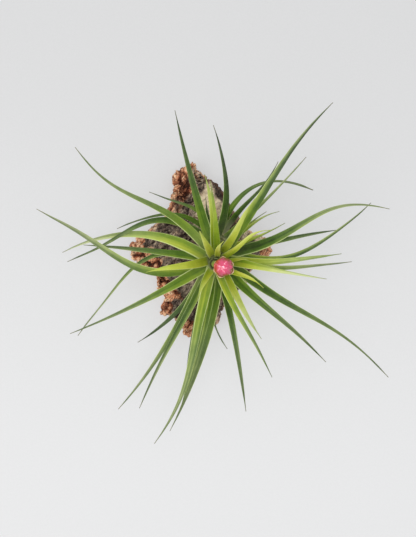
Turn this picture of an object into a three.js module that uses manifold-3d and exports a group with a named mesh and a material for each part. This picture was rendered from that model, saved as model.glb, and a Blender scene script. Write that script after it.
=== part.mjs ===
// An air plant with a rose-coloured flower bud, growing on a piece of cork bark.
// Millimetres, +Z up. The bark rests on Z = 0 and the origin is under its middle.
// Seen from straight above, +X is to the right and +Y is up.
import * as THREE from "three";
import Module from "manifold-3d";

const wasm = await Module();
wasm.setup();
const { Manifold, Mesh } = wasm;

// Driving sizes.
const GAP = 0.3; // left between pieces that touch on the real plant

const STEM_FOOT = [8.4, 3.6, 20]; // middle of the stem where the oldest leaves grow
const STEM_TOP = [7.2, -7.2, 52]; // middle of the stem where the youngest leaves grow
const STEM_FOOT_RADIUS = 7.4;
const STEM_TOP_RADIUS = 3.4;
const SHEATH_RELIEF = 0.7; // how far the old leaf bases stand out of the stem

const LEAF_THICK_MIDDLE = 1.1;
const LEAF_THICK_EDGE = 0.62;
const LEAF_CHANNEL = 0.18; // channel depth as a share of the leaf's width
const LEAF_TIP_WIDTH = 0.7;
const LEAF_SHEATH_SHARE = 0.8; // width at the root as a share of the widest place
const LEAF_WIDEST_AT = 0.16; // where a leaf is widest, as a share of its length
const LEAF_FLARE = 0.3; // the share of the width that most leaves have at the base alone
const LEAF_ROOT_DEPTH = 0.86; // a leaf starts at this share of the stem's radius
const LEAF_ROOT_DROP = 1.2; // its clasping end is this much lower
const ARCH_LEAN = 0.88; // under 1 puts the top of the arch nearer the root
const CROSSING_CLEARANCE = 1.7; // height between the middles of two crossing leaves

const HEAD_CENTRE = [11, -8.5, 61.5];
const HEAD_RADIUS = 4.1;
const HEAD_HEIGHT = 9.8;
const HEAD_FOOT_FALL = 150; // the head starts this far down from its top, in degrees
const HEAD_BRACTS = 20;
const HEAD_BRACT_BASES = [142, 42]; // where the lowest and the highest bract start, in degrees
const HEAD_BRACT_SPANS = [72, 38]; // how far up the head each reaches from there
const HEAD_BRACT_HALF_TURNS = [38, 30];
const HEAD_BRACT_TIPS_OUT = [0.55, 0.2];
const OUTER_BRACTS = 6;
const OUTER_BRACT_FOOT = 158; // how far down from the head's top they start, in degrees
const OUTER_BRACT_TIPS = [128, 106]; // and where the lowest and the highest end
const OUTER_BRACT_INSIDE = 1.2; // clear of the head by this much
const OUTER_BRACT_WIDTH = 5.4;
const OUTER_BRACT_THICK = 0.7;

const BARK_BODY_HEIGHT = 13.5; // the middle of the bark, without its plates
const BARK_EDGE_TOP = 8.5;
const BARK_EDGE_FOOT = 2.2; // the underside's rim is this far off the table
const BARK_REST_SHARE = 0.62; // the flat spot's size as a share of the outline
const BARK_BROW_SHARE = 0.97; // where the upper side turns down to the rim
const BARK_ANGLES = 88;
const BARK_RINGS = 13;

// The bark's rugged outline, clockwise from its top: one point for each corner.
const BARK_OUTLINE = [
  [-4, 44], [0, 39], [6, 34], [12, 27], [15, 22], [18, 19], [21, 15], [25, 10],
  [29, 7], [33, 6], [36, 2], [35, -4], [32, -8], [24, -17], [15, -25], [12, -29],
  [10, -33], [6, -37], [2, -40], [-4, -43], [-8, -40], [-12, -35], [-16, -33],
  [-20, -30], [-18.5, -27], [-18, -23], [-22, -19], [-24, -13], [-27, -9],
  [-31, -6], [-35, -3], [-34, 2], [-30, 5], [-24, 11], [-20, 15], [-16, 19],
  [-13, 25], [-12.5, 29], [-15, 33], [-12, 37], [-8, 42],
];

// The bark's raised plates and lobes: middle, half length, half width, the way
// that the length points in degrees, and how far each stands over the body.
const BARK_PLATES = [
  { at: [-9, 36], half: [11, 6], turn: 70, rise: 4.0 }, // upper lobe
  { at: [-11, 24], half: [8, 5], turn: 80, rise: 3.0 },
  { at: [3, 24], half: [12, 6], turn: 60, rise: 3.2 }, // flat plate beside it
  { at: [10, 22], half: [8, 3], turn: 50, rise: -1.6 }, // slope beside the plate
  { at: [27, 5], half: [10, 6], turn: 170, rise: 1.6 }, // right-hand lobe
  { at: [-29, -3], half: [8, 5], turn: 20, rise: 2.0 }, // left-hand lobe
  { at: [-12, -21], half: [7, 4], turn: 120, rise: 2.6 }, // chunks at the lower left
  { at: [-15, -30], half: [5, 4], turn: 60, rise: 2.0 },
  { at: [-5, -38], half: [6, 5], turn: 80, rise: 1.5 }, // lower tip
  { at: [-14, 2], half: [12, 7], turn: 130, rise: 3.0 }, // crest left of the stem
  { at: [10, -18], half: [11, 6], turn: 50, rise: 1.8 },
  { at: [-3, -8], half: [9, 6], turn: 100, rise: 2.0 },
];

// The leaves of each tier, from the lowest in the heap to the highest. from: height on the stem
// and bearing round it in degrees. tip: its place. arch: how far the middle stands
// over the straight line from root to tip. bow: how far the middle lies to the left
// of that line. curl: how far the leaf winds to the left and then to the right.
// flare: the share of the width that only the base has. blunt: the width at the tip.
const LEAF_ROWS = {
  outer_leaf: [
    { from: [21, 275], tip: [13.5, -49, 8], arch: 7, bow: -5.5, curl: 0.5, width: 2.6 },
    { from: [31, 232], tip: [-59.5, -42, 16], arch: 10, bow: -13.5, curl: -3.2, width: 2.6 },
    { from: [22, 240], tip: [-30, -45, 22], arch: 8, bow: 5.4, curl: 0.3, width: 3.7, flare: 0 },
    { from: [21, 35], tip: [32, 18, 28], arch: 6, bow: -1, curl: -0.5, width: 2.2 },
    { from: [23, 15], tip: [38, 18, 32], arch: 6, bow: 1.2, curl: -0.5, width: 2.6 },
    { from: [21, 125], tip: [-40, 10, 22], arch: 13, bow: -7.2, curl: -1, width: 2.6 },
    { from: [23, 62], tip: [37, 41, 42], arch: 7, bow: -0.8, curl: 0.8, width: 3 },
    { from: [21, 80], tip: [54.5, 28.5, 26], arch: 20, bow: 12.5, curl: 0, width: 3, blunt: 1.1 },
    { from: [25, 85], tip: [6.5, 57.5, 48], arch: 7, bow: -4.8, curl: -0.5, width: 3.8, flare: 0.25 },
    { from: [27, 48], tip: [50, 43, 44], arch: 8, bow: -1, curl: 0, width: 2.6 },
    { from: [26, 358], tip: [67, 9.3, 30], arch: 8, bow: -0.8, curl: -0.5, width: 3.2, flare: 0 },
    { from: [28, 345], tip: [81.5, 22, 34], arch: 8, bow: -11.6, curl: -1.7, width: 3, flare: 0.1 },
    { from: [29, 325], tip: [72.5, -6, 32], arch: 10, bow: -4.6, curl: -1, width: 3, flare: 0.1 },
    { from: [30, 105], tip: [3, 24, 44], arch: 7, bow: 0.8, curl: 0, width: 3.2 },
    { from: [28, 240], tip: [-39.5, -77.5, 20], arch: 14, bow: 3.3, curl: -0.2, width: 3.6, flare: 0.1 },
    { from: [27, 262], tip: [-29, -76.5, 26], arch: 14, bow: -0.6, curl: 0.4, width: 3.8, flare: 0.15 },
  ],
  middle_leaf: [
    { from: [32, 230], tip: [-55.5, 2, 30], arch: 10, bow: -0.6, curl: 0, width: 4, flare: 0.2 },
    { from: [25, 108], tip: [-23.5, 26.5, 46], arch: 8, bow: -4.2, curl: -1.3, width: 2.6 },
    { from: [36, 215], tip: [-66, -1.5, 26], arch: 16, bow: -9.8, curl: -0.4, width: 5.5 },
    { from: [27, 135], tip: [-63, -6, 32], arch: 20, bow: -10, curl: -3.5, width: 3.5, flare: 0.2 },
    { from: [36, 242], tip: [-74.5, 18, 59], arch: 7, bow: 10.6, curl: 3.5, width: 4.2, flare: 0 },
    { from: [33, 122], tip: [-11, 62.5, 65], arch: 7, bow: 0.8, curl: 0, width: 4.8 },
    { from: [33, 315], tip: [89, -60.5, 40], arch: 12, bow: 1.6, curl: -1.8, width: 4.8, flare: 0.5 },
    { from: [31, 270], tip: [22, -77, 36], arch: 12, bow: 1.4, curl: 0.1, width: 3.8, flare: 0 },
    { from: [33, 255], tip: [-6, -56.5, 34], arch: 8, bow: -1.5, curl: 0, width: 3 },
    { from: [32, 15], tip: [40, 12, 45], arch: 7, bow: -1, curl: 0, width: 2.4 },
    { from: [35, 170], tip: [-56, 45.5, 68], arch: 8, bow: 0.9, curl: -2.7, width: 4.3, flare: 0.4 },
    { from: [34, 348], tip: [88, 18.3, 52], arch: 14, bow: 4.6, curl: -3.4, width: 5.3, flare: 0.45 },
    { from: [38, 335], tip: [65, -2.5, 60], arch: 10, bow: -2.4, curl: -0.5, width: 4, flare: 0.1 },
  ],
  inner_leaf: [
    { from: [37, 299], tip: [58.5, -52.5, 52], arch: 12, bow: -0.2, curl: -0.6, width: 5, flare: 0.35 },
    { from: [40, 290], tip: [28.5, -41.5, 58], arch: 8, bow: -0.3, curl: 0.3, width: 4.6, flare: 0.15 },
    { from: [36.5, 276], tip: [-14, -86, 38], arch: 14, bow: 4.2, curl: 0.2, width: 5, flare: 0.2 },
    { from: [38, 258], tip: [-9, -75, 44], arch: 14, bow: 2.6, curl: 0.3, width: 5, flare: 0.2 },
    { from: [41, 245], tip: [-21, -91, 46], arch: 14, bow: 4.2, curl: -1.5, width: 5, flare: 0.25 },
    { from: [42, 232], tip: [-60, -39.5, 50], arch: 14, bow: 1.6, curl: 0, width: 5.2, flare: 0.5 },
    { from: [39, 20], tip: [59.5, 64.5, 78], arch: 11, bow: 2, curl: -0.8, width: 5, flare: 0.3 },
    { from: [42, 328], tip: [57.5, -14, 68], arch: 10, bow: -0.5, curl: 0, width: 4.6, flare: 0.5 },
    { from: [44, 282], tip: [33, -58.5, 66], arch: 10, bow: -0.6, curl: -0.5, width: 3.5, flare: 0.2 },
  ],
  heart_leaf: [
    { from: [42, 92], tip: [2.5, 33, 72], arch: 10, bow: -1.1, curl: 0, width: 4.6, flare: 0.2 },
    { from: [46, 75], tip: [5, 30, 70], arch: 8, bow: -0.5, curl: 0, width: 3.2, flare: 0.2 },
    { from: [45, 195], tip: [-24, -11, 70], arch: 12, bow: 0, curl: 0.3, width: 4.3, flare: 0.1 },
    { from: [44, 48], tip: [25, 22, 76], arch: 9, bow: -0.2, curl: -0.5, width: 3.8, flare: 0.1 },
    { from: [45, 15], tip: [32, 8, 70], arch: 9, bow: 1.5, curl: -1, width: 2.8, flare: 0.1 },
    { from: [46, 245], tip: [-1, -24, 62], arch: 4, bow: -0.8, curl: 0, width: 3.6, flare: 0.1 },
    { from: [47, 305], tip: [29, -18, 68], arch: 1, bow: 0.9, curl: -0.5, width: 3.1, flare: 0.1 },
    { from: [47, 120], tip: [0.3, 7.3, 78], arch: 4, bow: 0, curl: 0, width: 3.8, flare: 0, blunt: 1.8 },
    { from: [49, 70], tip: [11, 3, 72], arch: 4, bow: 0.9, curl: 0, width: 2.8, flare: 0 },
    { from: [49, 350], tip: [22, -5, 64], arch: -4, bow: 0.5, curl: 0, width: 2.6, flare: 0 },
  ],
};

const GOLDEN_TURN = 137.5; // degrees from one bract of a spiral to the next

// Small helpers.
const radians = (degrees) => (degrees * Math.PI) / 180;
const mix = (a, b, share) => a + (b - a) * share;
const clamp = (value, low, high) => Math.min(high, Math.max(low, value));
const mixPoint = (a, b, share) => a.map((value, axis) => mix(value, b[axis], share));
const bump = (share) => 4 * share * (1 - share);
const arc = (share) => Math.sin(Math.PI * share ** ARCH_LEAN);

function smoothStep(low, high, value) {
  const share = clamp((value - low) / (high - low), 0, 1);
  return share * share * (3 - 2 * share);
}

// A repeatable random number from 0 to 1 for a whole number.
function random(index, seed) {
  const wave = Math.sin(index * 127.1 + seed * 311.7) * 43758.5453;
  return wave - Math.floor(wave);
}

// One closed body from points and triangles, turned to face outwards.
function body(points, triangles) {
  let volume = 0;
  for (const [a, b, c] of triangles) {
    const [p, q, r] = [points[a], points[b], points[c]];
    volume += p[0] * (q[1] * r[2] - q[2] * r[1]);
    volume += p[1] * (q[2] * r[0] - q[0] * r[2]);
    volume += p[2] * (q[0] * r[1] - q[1] * r[0]);
  }
  const faces = volume > 0 ? triangles : triangles.map(([a, b, c]) => [a, c, b]);
  const mesh = new Mesh({
    numProp: 3,
    vertProperties: Float32Array.from(points.flat()),
    triVerts: Uint32Array.from(faces.flat()),
  });
  mesh.merge();
  return new Manifold(mesh);
}

// A skin over rings of points that all have the same count, closed at both ends.
// capTriangles are the triangles of an end face, as places in a ring.
function loft(rings, capTriangles) {
  const count = rings[0].length;
  const triangles = [];
  for (let ring = 0; ring + 1 < rings.length; ring += 1) {
    for (let side = 0; side < count; side += 1) {
      const a = ring * count + side;
      const b = ring * count + ((side + 1) % count);
      triangles.push([a, b, b + count], [a, b + count, a + count]);
    }
  }
  const last = (rings.length - 1) * count;
  for (const [a, b, c] of capTriangles) {
    triangles.push([a, c, b], [last + a, last + b, last + c]);
  }
  return body(rings.flat(), triangles);
}

// The end triangles of a convex ring.
function fan(count) {
  return Array.from({ length: count - 2 }, (unused, index) => [0, index + 1, index + 2]);
}

// A round ring of points, level or square to a direction.
function levelRing(centre, radiusAt, count) {
  return Array.from({ length: count }, (unused, index) => {
    const angle = (2 * Math.PI * index) / count;
    const radius = radiusAt(angle);
    return [centre[0] + radius * Math.cos(angle), centre[1] + radius * Math.sin(angle), centre[2]];
  });
}

function squareRing(centre, direction, radius, count) {
  const along = new THREE.Vector3(...direction).normalize();
  const side = new THREE.Vector3(-along.y, along.x, 0);
  if (side.lengthSq() < 1e-6) side.set(1, 0, 0);
  side.normalize();
  const up = new THREE.Vector3().crossVectors(side, along);
  return Array.from({ length: count }, (unused, index) => {
    const angle = (2 * Math.PI * index) / count;
    return new THREE.Vector3(...centre)
      .addScaledVector(side, radius * Math.cos(angle))
      .addScaledVector(up, radius * Math.sin(angle))
      .toArray();
  });
}

// The largest piece of a solid that a cut may have left in several.
function largest(solid) {
  const pieces = solid.decompose();
  return pieces.reduce((best, piece) => (piece.volume() > best.volume() ? piece : best));
}

// The stem.
const stemShare = (height) => (height - STEM_FOOT[2]) / (STEM_TOP[2] - STEM_FOOT[2]);
const stemMiddle = (height) => mixPoint(STEM_FOOT, STEM_TOP, stemShare(height));
const stemRadius = (height) => mix(STEM_FOOT_RADIUS, STEM_TOP_RADIUS, clamp(stemShare(height), 0, 1));

function stemPoint(height, bearing, share) {
  const middle = stemMiddle(height);
  const reach = stemRadius(height) * share;
  return [
    middle[0] + reach * Math.cos(radians(bearing)),
    middle[1] + reach * Math.sin(radians(bearing)),
    height,
  ];
}

// The plain shape that the leaves keep clear of.
function stemClearance() {
  const heights = [18.5, 20, 28, 36, 44, 52.3];
  return loft(heights.map((height) => levelRing(stemMiddle(height), () => stemRadius(height), 20)), fan(20));
}

// Old leaf bases wrap the stem like roof tiles, each row a half step round.
function makeStem() {
  const rows = 9;
  const levels = 2;
  const sides = 25;
  const foot = 18.9;
  const top = 52;
  const rings = [];
  for (let level = 0; level <= rows * levels; level += 1) {
    const height = mix(foot, top, level / (rows * levels));
    const row = Math.floor(level / levels);
    const inRow = (level % levels) / levels;
    rings.push(levelRing(stemMiddle(height), (angle) => {
      const tile = 0.5 + 0.5 * Math.cos(5 * angle + row * Math.PI);
      const lift = SHEATH_RELIEF * (1 - inRow) * (0.35 + 0.65 * tile);
      return (stemRadius(height) - GAP - SHEATH_RELIEF) + lift;
    }, sides));
  }
  return loft(rings, fan(sides));
}

// The leaves.
const LEAVES = Object.entries(LEAF_ROWS).flatMap(([tier, rows]) => rows.map((row, index) => ({
  name: `${tier}_${String(index + 1).padStart(2, "0")}`,
  ...row,
})));
const LEAF_CAPS = [[0, 1, 4], [0, 4, 5], [1, 2, 3], [1, 3, 4]];

// The middle line of a leaf, with its rise over the listed shape.
function leafLine(leaf, rise, share) {
  const root = stemPoint(leaf.from[0] + rise.root, leaf.from[1] + rise.turn, LEAF_ROOT_DEPTH);
  const tip = [leaf.tip[0], leaf.tip[1], leaf.tip[2] + rise.tip];
  const reach = Math.hypot(tip[0] - root[0], tip[1] - root[1]);
  const left = [-(tip[1] - root[1]) / reach, (tip[0] - root[0]) / reach];
  const aside = leaf.bow * bump(share) + leaf.curl * Math.sin(2 * Math.PI * share);
  const point = mixPoint(root, tip, share);
  return [
    point[0] + left[0] * aside,
    point[1] + left[1] * aside,
    point[2] + (leaf.arch + rise.arch) * arc(share),
  ];
}

// The middle line outside the crowded root, for finding where leaves cross.
function leafCourse(leaf, rise) {
  const steps = 16;
  const shares = Array.from({ length: steps + 1 }, (unused, step) => mix(0.12, 1, step / steps));
  return shares.map((share) => leafLine(leaf, rise, share));
}

function leafWidth(leaf, share) {
  if (share < LEAF_WIDEST_AT) {
    return leaf.width * mix(LEAF_SHEATH_SHARE, 1, smoothStep(0, LEAF_WIDEST_AT, share));
  }
  const left = 1 - (share - LEAF_WIDEST_AT) / (1 - LEAF_WIDEST_AT);
  const taper = mix(left ** 0.72, left ** 3, leaf.flare ?? LEAF_FLARE);
  return Math.max(leaf.blunt ?? LEAF_TIP_WIDTH, leaf.width * taper);
}

// One channelled blade. spare makes it fatter all round, to test for clearance.
function leafSolid(leaf, rise, spare = 0) {
  const reach = Math.hypot(leaf.tip[0] - STEM_FOOT[0], leaf.tip[1] - STEM_FOOT[1]);
  const steps = Math.round(clamp(5 + reach / 13, 6, 11));
  const shares = Array.from({ length: steps + 1 }, (unused, index) => (index / steps) ** 0.92);
  const line = shares.map((share) => leafLine(leaf, rise, share));
  const start = mixPoint(stemMiddle(line[0][2] - LEAF_ROOT_DROP), line[0], 0.55);
  const middles = [start, ...line];
  const rings = middles.map((middle, index) => {
    const before = middles[Math.max(1, index - 1)];
    const after = middles[Math.min(middles.length - 1, Math.max(2, index + 1))];
    const along = new THREE.Vector3(...after).sub(new THREE.Vector3(...before)).normalize();
    const side = new THREE.Vector3(-along.y, along.x, 0).normalize();
    const up = new THREE.Vector3().crossVectors(along, side);
    const share = index === 0 ? 0 : shares[index - 1];
    const width = leafWidth(leaf, share);
    const fine = clamp(width / leaf.width, 0, 1);
    const middleThick = mix(LEAF_THICK_EDGE, LEAF_THICK_MIDDLE, fine) + 2 * spare;
    const edgeThick = LEAF_THICK_EDGE + 2 * spare;
    const channel = LEAF_CHANNEL * width;
    const at = (aside, over) => new THREE.Vector3(...middle)
      .addScaledVector(side, aside)
      .addScaledVector(up, over)
      .toArray();
    const half = width / 2 + spare;
    return [
      at(half, channel + edgeThick / 2),
      at(0, middleThick / 2),
      at(-half, channel + edgeThick / 2),
      at(-half, channel - edgeThick / 2),
      at(0, -middleThick / 2),
      at(half, channel - edgeThick / 2),
    ];
  });
  return loft(rings, LEAF_CAPS);
}

// Where two middle lines cross as seen from above, the height of the second there
// less that of the first. Crossings close to the stem do not count.
function leastHeightOver(lower, upper) {
  let least = Infinity;
  for (let i = 0; i + 1 < lower.length; i += 1) {
    for (let j = 0; j + 1 < upper.length; j += 1) {
      const [a, b, c, d] = [lower[i], lower[i + 1], upper[j], upper[j + 1]];
      const cross = (b[0] - a[0]) * (d[1] - c[1]) - (b[1] - a[1]) * (d[0] - c[0]);
      if (Math.abs(cross) < 1e-9) continue;
      const s = ((c[0] - a[0]) * (d[1] - c[1]) - (c[1] - a[1]) * (d[0] - c[0])) / cross;
      const t = ((c[0] - a[0]) * (b[1] - a[1]) - (c[1] - a[1]) * (b[0] - a[0])) / cross;
      if (s < 0 || s > 1 || t < 0 || t > 1) continue;
      least = Math.min(least, mix(c[2], d[2], t) - mix(a[2], b[2], s));
    }
  }
  return least;
}

function boxesMeet(a, b) {
  return [0, 1, 2].every((axis) => a.min[axis] < b.max[axis] && b.min[axis] < a.max[axis]);
}

// The changes that are tried, the smallest first. Moves of the root are hidden in the
// middle of the plant, so they count for less than a change of arch or tip.
function risesToTry() {
  const rises = [];
  for (let root = -1; root <= 3; root += 1) {
    for (let turn = -3; turn <= 3; turn += 1) {
      for (let arch = 0; arch <= 6; arch += 1) {
        for (let tip = 0; tip <= 4; tip += 1) {
          const cost = 0.5 * Math.abs(root) + 0.55 * Math.abs(turn) + arch + 1.02 * tip;
          rises.push({ root: root * 1.1, turn: turn * 8, arch: arch * 1.2, tip: tip * 1.6, cost });
        }
      }
    }
  }
  return rises.sort((a, b) => a.cost - b.cost);
}

// Each leaf lies over the ones before it: it is raised in small steps until it
// crosses over all of them and touches none.
function placeLeaves(obstacles, stemShape) {
  const rises = risesToTry();
  const placed = obstacles.map((solid) => ({ solid, box: solid.boundingBox(), line: [] }));
  const solids = new Map();
  for (const leaf of LEAVES) {
    let chosen = null;
    for (const rise of rises) {
      const line = leafCourse(leaf, rise);
      if (placed.some((other) => leastHeightOver(other.line, line) < CROSSING_CLEARANCE)) continue;
      const fat = leafSolid(leaf, rise, GAP / 2).subtract(stemShape);
      const box = fat.boundingBox();
      const clear = placed.every((other) => !boxesMeet(other.box, box)
        || fat.intersect(other.solid).volume() < 1e-6);
      if (clear) {
        chosen = rise;
        break;
      }
    }
    if (!chosen) throw new Error(`no room for ${leaf.name}`);
    const whole = leafSolid(leaf, chosen);
    const solid = largest(whole.subtract(stemShape));
    const fat = largest(leafSolid(leaf, chosen, GAP / 2).subtract(stemShape));
    placed.push({ solid: fat, box: fat.boundingBox(), line: leafCourse(leaf, chosen) });
    solids.set(leaf.name, solid);
  }
  return solids;
}

// The flower head.
// A place on the head's egg shape: turn round it, fall from its top in degrees, and
// how far out of the skin.
function headPoint(turn, fall, out) {
  const across = (HEAD_RADIUS + out) * Math.sin(radians(fall));
  const up = (HEAD_HEIGHT / 2 + out) * Math.cos(radians(fall));
  return [
    HEAD_CENTRE[0] + across * Math.cos(radians(turn)),
    HEAD_CENTRE[1] + across * Math.sin(radians(turn)),
    HEAD_CENTRE[2] + up,
  ];
}

function headBall(out, sides, levels) {
  const rings = [];
  for (let level = 0; level <= levels; level += 1) {
    const fall = mix(HEAD_FOOT_FALL, 8, level / levels);
    rings.push(Array.from({ length: sides }, (unused, side) => headPoint((360 * side) / sides, fall, out)));
  }
  return loft(rings, fan(sides));
}

// A solid over a grid of places on the head: it has an inner and an outer skin that
// are joined round the rim. inside and outside give a point for a row and a column.
function shell(rows, columns, inside, outside) {
  const wide = columns + 1;
  const shift = (rows + 1) * wide;
  const inner = [];
  const outer = [];
  for (let row = 0; row <= rows; row += 1) {
    for (let column = 0; column <= columns; column += 1) {
      inner.push(inside(row / rows, (2 * column) / columns - 1));
      outer.push(outside(row / rows, (2 * column) / columns - 1));
    }
  }
  const triangles = [];
  for (let row = 0; row < rows; row += 1) {
    for (let column = 0; column < columns; column += 1) {
      const a = row * wide + column;
      triangles.push([a, a + wide, a + wide + 1], [a, a + wide + 1, a + 1]);
      triangles.push([a + shift, a + wide + 1 + shift, a + wide + shift]);
      triangles.push([a + shift, a + 1 + shift, a + wide + 1 + shift]);
    }
  }
  const rim = [];
  for (let column = 0; column < columns; column += 1) rim.push(column);
  for (let row = 0; row < rows; row += 1) rim.push(row * wide + columns);
  for (let column = columns; column > 0; column -= 1) rim.push(rows * wide + column);
  for (let row = rows; row > 0; row -= 1) rim.push(row * wide);
  rim.forEach((a, index) => {
    const b = rim[(index + 1) % rim.length];
    triangles.push([a, b, b + shift], [a, b + shift, a + shift]);
  });
  return body([...inner, ...outer], triangles);
}

// A pointed bract that lies on the head, from its broad base up to its tip.
function headBract(turn, baseFall, tipFall, halfTurn, tipOut) {
  const place = (share, across, out) => {
    const fall = mix(baseFall, tipFall, share);
    const round = Math.sqrt(Math.max(0.02, 1 - share ** 2.2));
    const spread = (halfTurn * round) / Math.max(0.4, Math.sin(radians(fall)));
    return headPoint(turn + across * spread, fall, out);
  };
  const crown = (across) => 0.35 * (1 - across * across);
  return shell(
    4,
    3,
    (share, across) => place(share, across * 0.9, -2.2),
    (share, across) => place(share, across, mix(0.1, tipOut, share) + crown(across)),
  );
}

function makeHead() {
  let head = headBall(-0.4, 16, 7);
  for (let index = 0; index < HEAD_BRACTS; index += 1) {
    const share = index / (HEAD_BRACTS - 1);
    const base = mix(...HEAD_BRACT_BASES, share);
    const tip = base - mix(...HEAD_BRACT_SPANS, share);
    const halfTurn = mix(...HEAD_BRACT_HALF_TURNS, share);
    head = head.add(headBract(index * GOLDEN_TURN, base, tip, halfTurn, mix(...HEAD_BRACT_TIPS_OUT, share)));
  }
  const foot = headPoint(0, HEAD_FOOT_FALL, -0.4)[2];
  return largest(head.trimByPlane([0, 0, 1], foot));
}

// A green and pink bract that stands outside the head.
function outerBract(turn, tipFall) {
  const place = (share, across, out) => {
    const fall = mix(OUTER_BRACT_FOOT, tipFall, share);
    const halfWidth = (OUTER_BRACT_WIDTH / 2) * Math.sqrt(Math.max(0.04, 1 - share ** 2));
    const circle = HEAD_RADIUS * Math.sin(radians(fall)) + out;
    const swing = Math.min(62, (halfWidth * 180) / (Math.PI * circle));
    return headPoint(turn + across * swing, fall, out);
  };
  return shell(
    5,
    3,
    (share, across) => place(share, across, OUTER_BRACT_INSIDE),
    (share, across) => place(share, across, OUTER_BRACT_INSIDE + OUTER_BRACT_THICK),
  );
}

// The outer bracts hold the head like a cup, on a short stalk.
function makeOuterBracts() {
  const foot = [stemMiddle(52)[0], stemMiddle(52)[1], 52 + GAP];
  const top = [HEAD_CENTRE[0], HEAD_CENTRE[1], headPoint(0, HEAD_FOOT_FALL, -0.4)[2] - GAP];
  const stalk = [[0, 1.7], [0.45, 1.9], [1, 3.5]];
  const sides = 12;
  const rings = stalk.map(([share, radius]) => levelRing(mixPoint(foot, top, share), () => radius, sides));
  let cup = loft(rings, fan(sides));
  for (let index = 0; index < OUTER_BRACTS; index += 1) {
    const turn = index * (360 / OUTER_BRACTS) + 15 * random(index, 3);
    cup = cup.add(outerBract(turn, mix(...OUTER_BRACT_TIPS, random(index, 8))));
  }
  return largest(cup);
}

// The bark.
// How far the outline lies from the middle in one direction.
function outlineReach(angle) {
  const [dx, dy] = [Math.cos(angle), Math.sin(angle)];
  let reach = 0;
  BARK_OUTLINE.forEach((a, index) => {
    const b = BARK_OUTLINE[(index + 1) % BARK_OUTLINE.length];
    const edge = [b[0] - a[0], b[1] - a[1]];
    const cross = dx * edge[1] - dy * edge[0];
    if (Math.abs(cross) < 1e-9) return;
    const along = (a[0] * edge[1] - a[1] * edge[0]) / cross;
    const share = (a[0] * dy - a[1] * dx) / cross;
    if (along > 0 && share >= 0 && share <= 1) reach = Math.max(reach, along);
  });
  return reach;
}

// The bark's upper side: a body that falls to its rim, raised plates, and splits
// that run across it from the lower left to the upper right.
function barkHeight(x, y) {
  const angle = Math.atan2(y, x);
  const share = Math.min(1, Math.hypot(x, y) / outlineReach(angle));
  let height = mix(BARK_BODY_HEIGHT, BARK_EDGE_TOP, share ** 2.4);
  for (const plate of BARK_PLATES) {
    const turn = radians(plate.turn);
    const [dx, dy] = [x - plate.at[0], y - plate.at[1]];
    const along = (dx * Math.cos(turn) + dy * Math.sin(turn)) / plate.half[0];
    const across = (-dx * Math.sin(turn) + dy * Math.cos(turn)) / plate.half[1];
    height += plate.rise * (1 - smoothStep(0.55, 1.15, Math.hypot(along, across)));
  }
  const grain = radians(58);
  const along = x * Math.cos(grain) + y * Math.sin(grain);
  const across = -x * Math.sin(grain) + y * Math.cos(grain);
  const wander = 1.6 * Math.sin(along * 0.19 + 0.6) + 0.9 * Math.sin(along * 0.43 + 2);
  height += 0.75 * Math.sin((across + wander) * 0.62);
  height += 0.45 * Math.sin((across - wander) * 1.21 + along * 0.3);
  return height;
}

function makeBark() {
  const points = [[0, 0, barkHeight(0, 0)]];
  const triangles = [];
  const angles = Array.from({ length: BARK_ANGLES }, (unused, index) => (2 * Math.PI * index) / BARK_ANGLES);
  const ring = (shareAt, heightAt) => {
    const first = points.length;
    for (const angle of angles) {
      const reach = outlineReach(angle) * shareAt(angle);
      const [x, y] = [reach * Math.cos(angle), reach * Math.sin(angle)];
      points.push([x, y, heightAt(x, y)]);
    }
    return first;
  };
  const join = (inner, outer) => {
    for (let side = 0; side < BARK_ANGLES; side += 1) {
      const next = (side + 1) % BARK_ANGLES;
      triangles.push([inner + side, outer + side, outer + next], [inner + side, outer + next, inner + next]);
    }
  };
  let previous = -1;
  for (let index = 1; index <= BARK_RINGS; index += 1) {
    const first = ring(() => (index / BARK_RINGS) ** 0.9 * BARK_BROW_SHARE, barkHeight);
    if (previous < 0) {
      for (let side = 0; side < BARK_ANGLES; side += 1) {
        triangles.push([0, first + side, first + ((side + 1) % BARK_ANGLES)]);
      }
    } else {
      join(previous, first);
    }
    previous = first;
  }
  const steps = [
    ring(() => 1, (x, y) => barkHeight(x, y) * 0.72),
    ring((angle) => 0.985 + 0.02 * Math.sin(angle * 17), () => BARK_EDGE_FOOT + 1.6),
    ring(() => 0.95, () => BARK_EDGE_FOOT),
    ring(() => BARK_REST_SHARE, () => 0),
  ];
  for (const step of steps) {
    join(previous, step);
    previous = step;
  }
  points.push([0, 0, 0]);
  for (let side = 0; side < BARK_ANGLES; side += 1) {
    triangles.push([points.length - 1, previous + ((side + 1) % BARK_ANGLES), previous + side]);
  }
  return body(points, triangles);
}

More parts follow.
